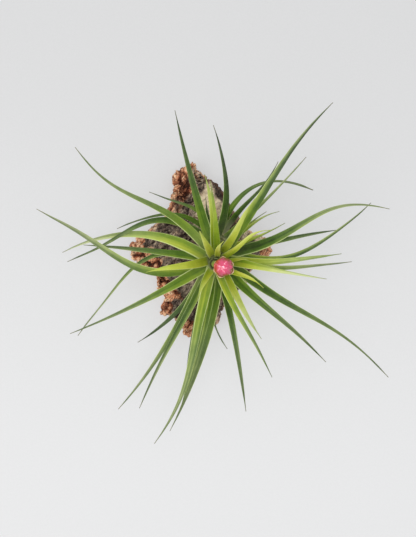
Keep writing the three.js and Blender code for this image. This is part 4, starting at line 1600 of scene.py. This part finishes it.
    def cup(self) -> Skin:
        """The outer bracts on their short stalk.

        Returns:
            One skin for the cup.
        """
        cup_low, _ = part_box("outer_bracts")
        _, _, head_low = (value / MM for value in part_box("flower_head")[0])
        foot = np.array([*self.stalk_foot, cup_low.z / MM])
        top = np.array([self.centre[0], self.centre[1], head_low - 0.3])
        sides, levels = 24, 12
        thin, middle_gain, top_gain = self.stalk_radii
        points = []
        for level in range(levels + 1):
            share = level / levels
            radius = thin + middle_gain * soft_step(0.0, 0.45, share) + top_gain * soft_step(0.4, 1.0, share)
            for side in range(sides):
                angle = 2 * math.pi * side / sides
                ridge = radius * (1 + 0.03 * math.cos(6 * angle))
                middle = foot + (top - foot) * share
                points.append((middle + [ridge * math.cos(angle), ridge * math.sin(angle), 0.0]) * MM)
        skins = [ringed(np.array(points), levels + 1, sides, rim=0.0, warm=0.0, dusk=0.0, foot=1.0)]
        for index, (turn, tip_fall) in enumerate(self.outer_bracts):
            skins.append(self.outer_bract(index, turn, tip_fall))
        return join_skins(skins)

    def build(self, effects: Effects) -> list[bpy.types.Object]:
        """Builds the bud and its cup.

        Args:
            effects: The shared effects.

        Returns:
            The two pieces.
        """
        bud = self.bud().piece("rose_bud")
        dress(bud, self.finish.material(effects), "flower_head", "flower_head")
        cup = self.cup().piece("bract_cup")
        dress(cup, self.outer_finish.material(effects), "outer_bracts", "outer_bracts")
        return [bud, cup]


# The stem and the roots.


@dataclass
class Stem:
    """The short stem, wrapped in papery leaf bases.

    Attributes:
        foot: The middle of its lower end, in millimetres.
        top: The middle of its upper end.
        foot_radius: The radius at the lower end.
        top_radius: The radius at the upper end.
        gap: How far its skin stays inside the leaves' roots.
        relief: How far the leaf bases stand out.
        rows: How many rows of leaf bases there are.
        tiles: How many there are in a row.
        greening: The heights where it starts to be green and where it is.
        half_angle: How far round the stem half a leaf base goes, in radians.
        tall: How tall the shortest leaf base is, and the tallest.
    """

    foot: tuple[float, float, float] = (8.4, 3.6, 20.0)
    top: tuple[float, float, float] = (7.2, -7.2, 52.0)
    foot_radius: float = 7.4
    top_radius: float = 3.4
    gap: float = 0.3
    relief: float = 1.1
    rows: int = 9
    tiles: int = 5
    greening: tuple[float, float] = (22.0, 36.0)
    half_angle: float = 0.86
    tall: tuple[float, float] = (5.5, 7.0)
    finish: SheathFinish = SheathFinish("Leaf bases, dry and papery", roughness=0.6, relief=0.06 * MM)

    def middle(self, height: float) -> Array:
        """The middle of the stem at a height."""
        foot, top = np.array(self.foot), np.array(self.top)
        return foot + (top - foot) * (height - self.foot[2]) / (self.top[2] - self.foot[2])

    def radius(self, height: float) -> float:
        """The radius of the stem's core at a height."""
        share = min(1.0, max(0.0, (height - self.foot[2]) / (self.top[2] - self.foot[2])))
        return mix(self.foot_radius, self.top_radius, share) - self.gap - self.relief

    def young(self, height: float) -> float:
        """How green the stem is at a height."""
        return float(soft_step(*self.greening, height))

    def at(self, height: float, angle: float, out: float) -> list[float]:
        """A place on the stem's skin, in metres."""
        middle, reach = self.middle(height), self.radius(height) + out
        x, y = middle[0] + reach * math.cos(angle), middle[1] + reach * math.sin(angle)
        return [x * MM, y * MM, height * MM]

    def base(self, index: int, angle: float, height: float, tall: float) -> Skin:
        """One leaf base that wraps part of the stem.

        Args:
            index: Its number.
            angle: Where its middle is, in radians.
            height: How high it starts, in millimetres.
            tall: How tall it is.

        Returns:
            Its skin.
        """
        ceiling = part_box("stem")[1].z / MM

        def edge(share: float) -> float:
            return self.half_angle * math.sqrt(max(0.03, 1 - share**2.6))

        def level(share: float) -> float:
            return min(ceiling, height + tall * share)

        def outside(share: float, across: float) -> list[float]:
            out = self.relief * (0.30 + 0.55 * share + 0.15 * (1 - across * across))
            return self.at(level(share), angle + across * edge(share), out)

        def inside(share: float, across: float) -> list[float]:
            return self.at(level(share), angle + across * edge(share), self.relief * (0.05 + 0.5 * share))

        def values(share: float, across: float) -> dict[str, object]:
            return {
                "rim": max(soft_step(0.75, 1.0, abs(across)), soft_step(0.8, 1.0, share)),
                # Where shade is painted, at the base's foot.
                "foot": 1 - soft_step(0.0, 0.5, share),
                "young": self.young(level(share)),
                "bract_mm": (across * 4.0, share * 7.0, index * 5.7),
            }

        return shell(10, 10, inside, outside, values)

    def build(self, effects: Effects) -> bpy.types.Object:
        """Builds the stem.

        Args:
            effects: The shared effects.

        Returns:
            The stem as one piece.
        """
        low, high = (corner.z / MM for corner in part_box("stem"))
        sides, levels = 40, 36
        heights = [mix(low, high, level / levels) for level in range(levels + 1)]
        angles = [2 * math.pi * side / sides for side in range(sides)]
        core = np.array([self.at(height, angle, 0.1) for height in heights for angle in angles])
        green = soft_step(*self.greening, core[:, 2] / MM)
        # The core shows only between the leaf bases and is painted partly in shade.
        skins = [ringed(core, levels + 1, sides, rim=0.0, foot=0.6, young=green)]
        for row in range(self.rows):
            for tile in range(self.tiles):
                index = row * self.tiles + tile
                angle = 2 * math.pi * (tile + 0.5 * (row % 2)) / self.tiles + 0.2 * (scatter(index, 4) - 0.5)
                height = mix(low, high, row / self.rows)
                skins.append(self.base(index, angle, height, mix(*self.tall, scatter(index, 6))))
        return dress(join_skins(skins).piece("stem_sheaths"), self.finish.material(effects), "stem", "stem")


@dataclass
class Roots:
    """Wiry roots from under the stem, and fine rootlets that hold the bark.

    Attributes:
        voxel: The size of a face on the roots.
        rootlets: How many fine rootlets there are.
        start: Where they start, as a distance from the crown's middle.
        thick: The radius of a rootlet where it starts.
        thin: The radius at its end.
        lengths: The length of the shortest rootlet, and the longest, in millimetres.
        steps: How many steps a whole one has.
        fewest: The fewest points that are worth a rootlet.
        sides: How many sides it has.
    """

    voxel: float = 0.26 * MM
    rootlets: int = 16
    start: float = 4.2 * MM
    thick: float = 0.26 * MM
    thin: float = 0.12 * MM
    lengths: tuple[float, float] = (11.0, 21.0)
    steps: int = 26
    fewest: int = 8
    sides: int = 7
    finish: RootFinish = RootFinish("Root skin, brown and fibrous", roughness=0.72, relief=0.08 * MM)

    def skin(self) -> Skin:
        """The CAD roots with knots and a fibrous skin.

        Returns:
            The roots' skin.
        """
        points, faces, normals = fine_copy("roots", self.voxel)
        shifts = [
            0.10 * noise.noise(Vector(point) / MM * 0.9) + 0.05 * noise.noise(Vector(point) / MM * 2.6) - 0.05
            for point in points
        ]
        return Skin(points + normals * (np.array(shifts) * MM)[:, None], faces)

    def rootlet(self, index: int, ground: BVHTree) -> Skin | None:
        """One thin rootlet that lies along the bark.

        Args:
            index: Its number.
            ground: The bark's surface.

        Returns:
            Its skin, or nothing where the bark has ended.
        """
        low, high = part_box("roots")
        middle = Vector(((low.x + high.x) / 2, (low.y + high.y) / 2, 0.0))
        bearing = 2 * math.pi * (index + 0.6 * scatter(index, 12)) / self.rootlets
        length = mix(*self.lengths, scatter(index, 14)) * MM
        line = []
        for step in range(self.steps + 1):
            out = self.start + length * step / self.steps
            sway = 0.30 * math.sin(out / MM * 0.42 + index * 1.9)
            turn = bearing + sway + 0.012 * out / MM * (scatter(index, 16) - 0.5)
            above = Vector((middle.x + out * math.cos(turn), middle.y + out * math.sin(turn), high.z))
            hit = ground.ray_cast(above, Vector((0.0, 0.0, -1.0)))[0]
            if hit is None or not (low.x < hit.x < high.x and low.y < hit.y < high.y):
                break
            line.append(hit + Vector((0.0, 0.0, self.thin)))
        if len(line) < self.fewest:
            return None
        path = np.array(line)
        path[1:-1] = (path[:-2] + 2 * path[1:-1] + path[2:]) / 4
        ahead = np.gradient(path, axis=0)
        points = []
        for step, (place, forward) in enumerate(zip(path, ahead)):
            _, side, up = LeafBlade.axes(forward)
            radius = mix(self.thick, self.thin, step / (len(path) - 1))
            for corner in range(self.sides):
                angle = 2 * math.pi * corner / self.sides
                points.append(place + radius * (math.cos(angle) * side + math.sin(angle) * up))
        return Skin(np.array(points), ring_faces(len(path), self.sides))

    def build(self, effects: Effects, ground: BVHTree) -> list[bpy.types.Object]:
        """Builds the roots and the rootlets.

        Args:
            effects: The shared effects.
            ground: The bark's surface.

        Returns:
            The two pieces.
        """
        material = self.finish.material(effects)
        made = [dress(self.skin().piece("root_crown"), material, "roots", "roots")]
        fine = [skin for skin in (self.rootlet(index, ground) for index in range(self.rootlets)) if skin]
        made.append(dress(join_skins(fine).piece("rootlets"), material, "roots"))
        return made


# The bark.


@dataclass(frozen=True)
class BarkPatch:
    """A part of the bark with a look of its own.

    Attributes:
        at: Its middle, in millimetres.
        half: Half its length and half its width.
        turn: The way that its length points, in degrees.
        pale: How far it is tan instead of dark.
        rust: How much rusty inner cork it shows.
        crumble: How broken it is, from 0 for smooth.
        dim: How much darker than the rest it is.
    """

    at: tuple[float, float]
    half: tuple[float, float]
    turn: float
    pale: float
    rust: float
    crumble: float
    dim: float = 0.0

    def share(self, x: float, y: float) -> float:
        """How far a place belongs to this patch."""
        turn = math.radians(self.turn)
        dx, dy = x - self.at[0], y - self.at[1]
        along = (dx * math.cos(turn) + dy * math.sin(turn)) / self.half[0]
        across = (-dx * math.sin(turn) + dy * math.cos(turn)) / self.half[1]
        return 1 - float(soft_step(0.78, 1.12, math.hypot(along, across)))


@dataclass(frozen=True)
class BarkNip:
    """A place where the bark's outline is drawn in.

    Attributes:
        at: Its middle, in millimetres.
        reach: How far round that the bark moves.
        move: How far the middle moves along X and Y.
    """

    at: tuple[float, float]
    reach: float
    move: tuple[float, float]

    def shift(self, x: float, y: float) -> Array:
        """How far a place moves."""
        share = 1 - float(soft_step(0.0, self.reach, math.hypot(x - self.at[0], y - self.at[1])))
        return np.array([self.move[0] * share, self.move[1] * share, 0.0])


@dataclass(frozen=True)
class Breakage:
    """How broken cork falls into pieces of one size.

    Attributes:
        per_mm: How many pieces there are in a millimetre.
        cut: How deep the gaps between them are, in millimetres.
        lean: How far each piece leans its own way.
    """

    per_mm: float
    cut: float
    lean: float


@dataclass
class CorkBark:
    """The rugged piece of cork bark that holds the plant.

    Attributes:
        voxel: The size of a face.
        grain_turn: The way that the grain runs, in degrees.
        fissure_depth: The depth of the fissures, in millimetres.
        cleft_depth: The depth of the small clefts between them.
        hollow_depth: The depth of the broad hollows.
        grit_depth: The depth of the grainy surface.
        overhang: How far the broken sides stand out before they are cut in.
        breakages: The broken chunks and the smaller chips on them.
        rest_height: How high over the table the relief starts.
        rest_rise: How far above that it is in full.
        bend: How many bends of the grain there are in a millimetre, and how far they go.
        stray: How many bends of a patch's border there are, and how far they go.
        along_grain: How far the fissures are drawn out along the grain.
        fissure_scale: How many fissures there are in a millimetre.
        cleft_scale: How many clefts.
        hollow_scale: How many hollows.
        grit_scale: How many grains.
        broken_from: Where bark starts to be broken, and where it is, by its crumble.
        strata: How closely the layers at the sides lie, and how deep they are.
        plain: How pale, rusty, crumbly and dim the bark is outside its patches.
        patches: The parts with a look of their own.
        nips: The places where the outline is drawn in.
    """

    voxel: float = 0.43 * MM
    grain_turn: float = 58.0
    fissure_depth: float = 1.5
    cleft_depth: float = 0.7
    hollow_depth: float = 1.3
    grit_depth: float = 0.35
    overhang: float = 1.5
    breakages: tuple[Breakage, ...] = (Breakage(0.26, 0.8, 2.6), Breakage(0.62, 0.12, 0.5))
    rest_height: float = 0.4
    rest_rise: float = 2.2
    bend: tuple[float, float] = (0.13, 2.2)
    stray: tuple[float, float] = (0.3, 1.3)
    along_grain: float = 0.55
    fissure_scale: float = 0.20
    cleft_scale: float = 0.55
    hollow_scale: float = 0.15
    grit_scale: float = 0.95
    broken_from: tuple[float, float] = (0.55, 0.9)
    strata: tuple[float, float] = (2.4, 0.45)
    plain: tuple[float, float, float, float] = (0.08, 0.0, 0.5, 0.0)
    patches: tuple[BarkPatch, ...] = (
        BarkPatch((-9.5, 33.0), (13.0, 7.5), 70.0, 0.1, 0.95, 1.0),
        BarkPatch((-1.0, 36.5), (6.0, 4.0), 80.0, 0.35, 0.1, 0.8),
        BarkPatch((-13.5, 20.0), (7.0, 5.5), 70.0, 0.15, 0.35, 0.7),
        BarkPatch((5.3, 22.4), (14.0, 7.2), 65.0, 1.0, 0.0, 0.12),
        BarkPatch((10.9, 29.2), (8.5, 3.8), 120.0, 0.0, 0.0, 0.1, 0.85),
        BarkPatch((26.5, 5.5), (9.0, 6.5), 160.0, 0.9, 0.0, 0.55),
        BarkPatch((25.2, 4.6), (2.6, 1.5), 40.0, 0.2, 0.0, 0.9, 0.9),
        BarkPatch((33.5, -1.4), (4.0, 7.0), 10.0, 0.25, 0.6, 0.9),
        BarkPatch((-29.5, -3.5), (7.5, 5.5), 20.0, 0.3, 0.9, 0.9),
        BarkPatch((-31.5, 3.8), (3.6, 2.6), 30.0, 0.4, 0.9, 0.8),
        BarkPatch((-22.8, -8.0), (5.0, 3.2), 30.0, 0.1, 0.9, 0.8),
        BarkPatch((-20.3, -15.8), (4.5, 5.0), 60.0, 0.2, 0.95, 0.9),
        BarkPatch((-13.8, -22.8), (6.5, 4.4), 150.0, 0.4, 0.95, 0.7),
        BarkPatch((-5.5, -18.8), (5.0, 3.0), 60.0, 0.35, 0.0, 0.5),
        BarkPatch((-11.7, -27.4), (5.0, 3.0), 20.0, 0.05, 0.0, 0.1, 0.4),
        BarkPatch((-17.5, -30.3), (5.0, 4.0), 60.0, 0.3, 0.95, 0.9),
        BarkPatch((-5.6, -39.0), (5.5, 5.5), 80.0, 0.4, 0.8, 0.8),
    )
    nips: tuple[BarkNip, ...] = (
        BarkNip((29.0, -11.5), 14.0, (-2.6, 2.3)),
        BarkNip((-24.0, -15.5), 7.0, (1.8, 0.0)),
    )
    finish: BarkFinish = BarkFinish("Cork bark, weathered", roughness=0.85, shine=0.25, relief=0.2 * MM)

    def look_at(self, x: float, y: float) -> tuple[float, float, float, float]:
        """How pale, rusty, broken and dim the bark is at a place, in millimetres."""
        stray = noise.noise_vector(Vector((x, y, 0.0)) * self.stray[0]) * self.stray[1]
        look = np.array(self.plain)
        for patch in self.patches:
            share = patch.share(x + stray.x, y + stray.y)
            look += (np.array([patch.pale, patch.rust, patch.crumble, patch.dim]) - look) * share
        return tuple(float(value) for value in look)

    def relief(self, place: Vector, crumble: float) -> tuple[float, float]:
        """How far the bark lies under its full skin, and how much shade is painted there.

        Args:
            place: The place in millimetres, with the grain along X.
            crumble: How broken the bark is there.

        Returns:
            The depth in millimetres and how much shade is painted there, in fissures, clefts, hollows and
            gaps.
        """
        bend = noise.noise_vector(place * self.bend[0]) * self.bend[1]
        folded = Vector((place.x * self.along_grain, place.y, place.z)) + bend
        elsewhere = folded * self.cleft_scale + Vector((7.0, 3.0, 1.0))
        fissure = 1 - float(soft_step(0.02, 0.20, abs(noise.noise(folded * self.fissure_scale))))
        cleft = 1 - float(soft_step(0.02, 0.24, abs(noise.noise(elsewhere))))
        lumps = noise.fractal(place * self.hollow_scale, 0.9, 2.1, 3)
        hollow = float(soft_step(0.0, 0.55, -lumps))
        grit = 0.5 + 0.5 * noise.fractal(place * self.grit_scale, 0.6, 2.2, 2)
        broken = float(soft_step(*self.broken_from, crumble))
        cleft *= 1 - 0.75 * broken
        depth = fissure * self.fissure_depth * mix(0.2, 1.0, crumble)
        depth += cleft * self.cleft_depth * mix(0.3, 1.0, crumble)
        depth += hollow * self.hollow_depth * mix(0.15, 1.0, crumble)
        depth += grit * self.grit_depth * mix(0.2, 0.8, crumble)
        # Painted shade in the fissures, clefts and hollows.
        dark = fissure * mix(0.55, 0.8, crumble) + cleft * mix(0.2, 0.4, crumble) + 0.25 * hollow * crumble
        if broken > 0:
            for breakage in self.breakages:
                spot = folded * breakage.per_mm
                spans, middles = noise.voronoi(spot)
                gap = 1 - float(soft_step(0.02, 0.16, spans[1] - spans[0]))
                lean = (spot - middles[0]).dot(noise.cell_vector(middles[0] * 7.3) - Vector((0.5, 0.5, 0.5)))
                depth += broken * (breakage.cut * (gap + 1) + breakage.lean * lean)
                dark += 0.6 * breakage.cut * broken * gap
        return depth, min(1.0, dark + 0.2 * (1 - grit) * crumble)

    def skin(self) -> Skin:
        """The bark with its fissures, hollows and grain.

        Returns:
            The skin, with its looks stored on it.
        """
        points, faces, normals = fine_copy("cork_bark", self.voxel)
        turn = math.radians(self.grain_turn)
        shifts = np.zeros(len(points))
        stored = {key: np.zeros(len(points)) for key in ("pale", "rust", "depth", "flank")}
        moves = np.zeros((len(points), 3))
        grain = np.zeros((len(points), 3))
        for index, (point, normal) in enumerate(zip(points / MM, normals)):
            x, y, z = (float(value) for value in point)
            pale, rust, crumble, dim = self.look_at(x, y)
            side = 1 - abs(float(normal[2]))
            along = x * math.cos(turn) + y * math.sin(turn)
            across = -x * math.sin(turn) + y * math.cos(turn)
            place = Vector((along, across, z))
            crumble = min(1.0, crumble + 0.3 * side)
            depth, hollow = self.relief(place, crumble)
            strata = 0.5 + 0.5 * math.sin(z * self.strata[0] + 2.0 * noise.noise(place * 0.2))
            depth += self.strata[1] * side * strata
            proud = side * (self.overhang + 0.6 * rust + 1.2 * noise.noise(place * 0.14))
            held = float(soft_step(0.0, self.rest_rise, z - self.rest_height))
            shifts[index] = (proud - depth) * held
            moves[index] = sum(nip.shift(x, y) for nip in self.nips)
            flank = float(soft_step(0.05, 0.6, side))
            stored["pale"][index] = min(1.0, pale + 0.2 * flank + (0.25 if normal[2] < -0.4 else 0.0))
            stored["rust"][index] = min(1.0, rust + 0.55 * flank * (0.5 + 0.5 * strata))
            # The painted shade of the hollows, or the darkness of a dim patch, whichever is greater.
            stored["depth"][index] = max(hollow * (1 - 0.4 * pale), dim) * held
            stored["flank"][index] = flank * held
            grain[index] = (along, across, z)
        stored["bark_mm"] = grain
        return Skin(points + normals * (shifts * MM)[:, None] + moves * MM, faces, stored)

    def build(self, effects: Effects) -> tuple[bpy.types.Object, BVHTree]:
        """Builds the bark.

        Args:
            effects: The shared effects.

        Returns:
            The bark, and its surface to lay roots on.
        """
        skin = self.skin()
        ground = BVHTree.FromPolygons(skin.points.tolist(), skin.faces)
        piece = dress(skin.piece("cork_chip"), self.finish.material(effects), "cork_bark", "cork_bark")
        return piece, ground


# The surroundings.


@dataclass(frozen=True)
class Lamp:
    """One soft round lamp.

    Attributes:
        name: Its name.
        at: Where it hangs, in metres.
        size: How wide it is.
        power: How strong it is, in watts.
        colour: The colour of its light.
    """

    name: str
    at: tuple[float, float, float]
    size: float
    power: float
    colour: tuple[float, float, float] = (1.0, 1.0, 1.0)


@dataclass
class Studio:
    """The table, the soft light and the camera.

    Attributes:
        view: Where the camera stands, in metres, looking straight down.
        frame_height: The height of the picture on the table, in metres.
        sensor: The long side of the camera's sensor, in millimetres.
        clip: The nearest and the furthest that the camera sees, in metres.
        table: Half the width of the table.
        table_drop: How far the table lies under the part, so that they don't share a face.
        sky: The colour of the light from all round.
        sky_strength: The strength of that light.
        aim: The place that every lamp points at.
        lamps: The lamps.
    """

    view: tuple[float, float, float] = (0.004, -0.00925, 0.700)
    frame_height: float = 0.2685
    sensor: float = 36.0
    clip: tuple[float, float] = (0.01, 10.0)
    table: float = 3.0
    table_drop: float = 0.0002
    sky: Colour = (0.98, 0.985, 1.0, 1.0)
    sky_strength: float = 0.70
    aim: tuple[float, float, float] = (0.0, 0.0, 0.03)
    lamps: tuple[Lamp, ...] = (
        Lamp("Window light", (-0.62, -0.30, 0.95), 0.90, 3.5, (1.0, 0.99, 0.965)),
        Lamp("Upper light", (0.03, 0.03, 1.15), 0.48, 3.1),
    )
    finish: TableFinish = TableFinish("Table, pale and matt", roughness=0.75, relief=0.01 * MM)

    def build(self, effects: Effects) -> None:
        """Builds the table, the lamps and the camera.

        Args:
            effects: The shared effects.
        """
        half, low = self.table, -self.table_drop
        corners = np.array([[-half, -half, low], [half, -half, low], [half, half, low], [-half, half, low]])
        table = Skin(corners, [(0, 1, 2, 3)]).piece("table")
        table.data.materials.append(self.finish.material(effects))
        scene = bpy.context.scene
        scene.view_settings.view_transform = "Standard"
        world = bpy.data.worlds.new("Soft studio")
        world.use_nodes = True
        sky = world.node_tree.nodes["Background"].inputs
        sky["Color"].default_value = self.sky
        sky["Strength"].default_value = self.sky_strength
        scene.world = world
        for lamp in self.lamps:
            light = bpy.data.lights.new(lamp.name, "AREA")
            light.shape = "DISK"
            light.size = lamp.size
            light.energy = lamp.power
            light.color = lamp.colour
            holder = bpy.data.objects.new(lamp.name, light)
            holder.location = lamp.at
            aim = Vector(self.aim) - Vector(lamp.at)
            holder.rotation_euler = aim.to_track_quat("-Z", "Y").to_euler()
            scene.collection.objects.link(holder)
        camera = bpy.data.cameras.new("Camera")
        camera.sensor_width = self.sensor
        camera.lens = self.sensor * self.view[2] / self.frame_height
        camera.clip_start, camera.clip_end = self.clip
        stand = bpy.data.objects.new("Camera", camera)
        stand.location = self.view
        scene.collection.objects.link(stand)
        scene.camera = stand
        LOG.info("studio: %d lamps, camera at %s", len(self.lamps), self.view)


def main() -> None:
    """Builds the surroundings and every piece of the plant."""
    logging.basicConfig(level=logging.INFO, format="%(name)s: %(message)s")
    noise.seed_set(NOISE_SEED)
    effects = Effects()
    Studio().build(effects)
    _, ground = CorkBark().build(effects)
    Roots().build(effects, ground)
    Stem().build(effects)
    Rosette().build(effects)
    Bud().build(effects)


if __name__ == "__main__":
    main()
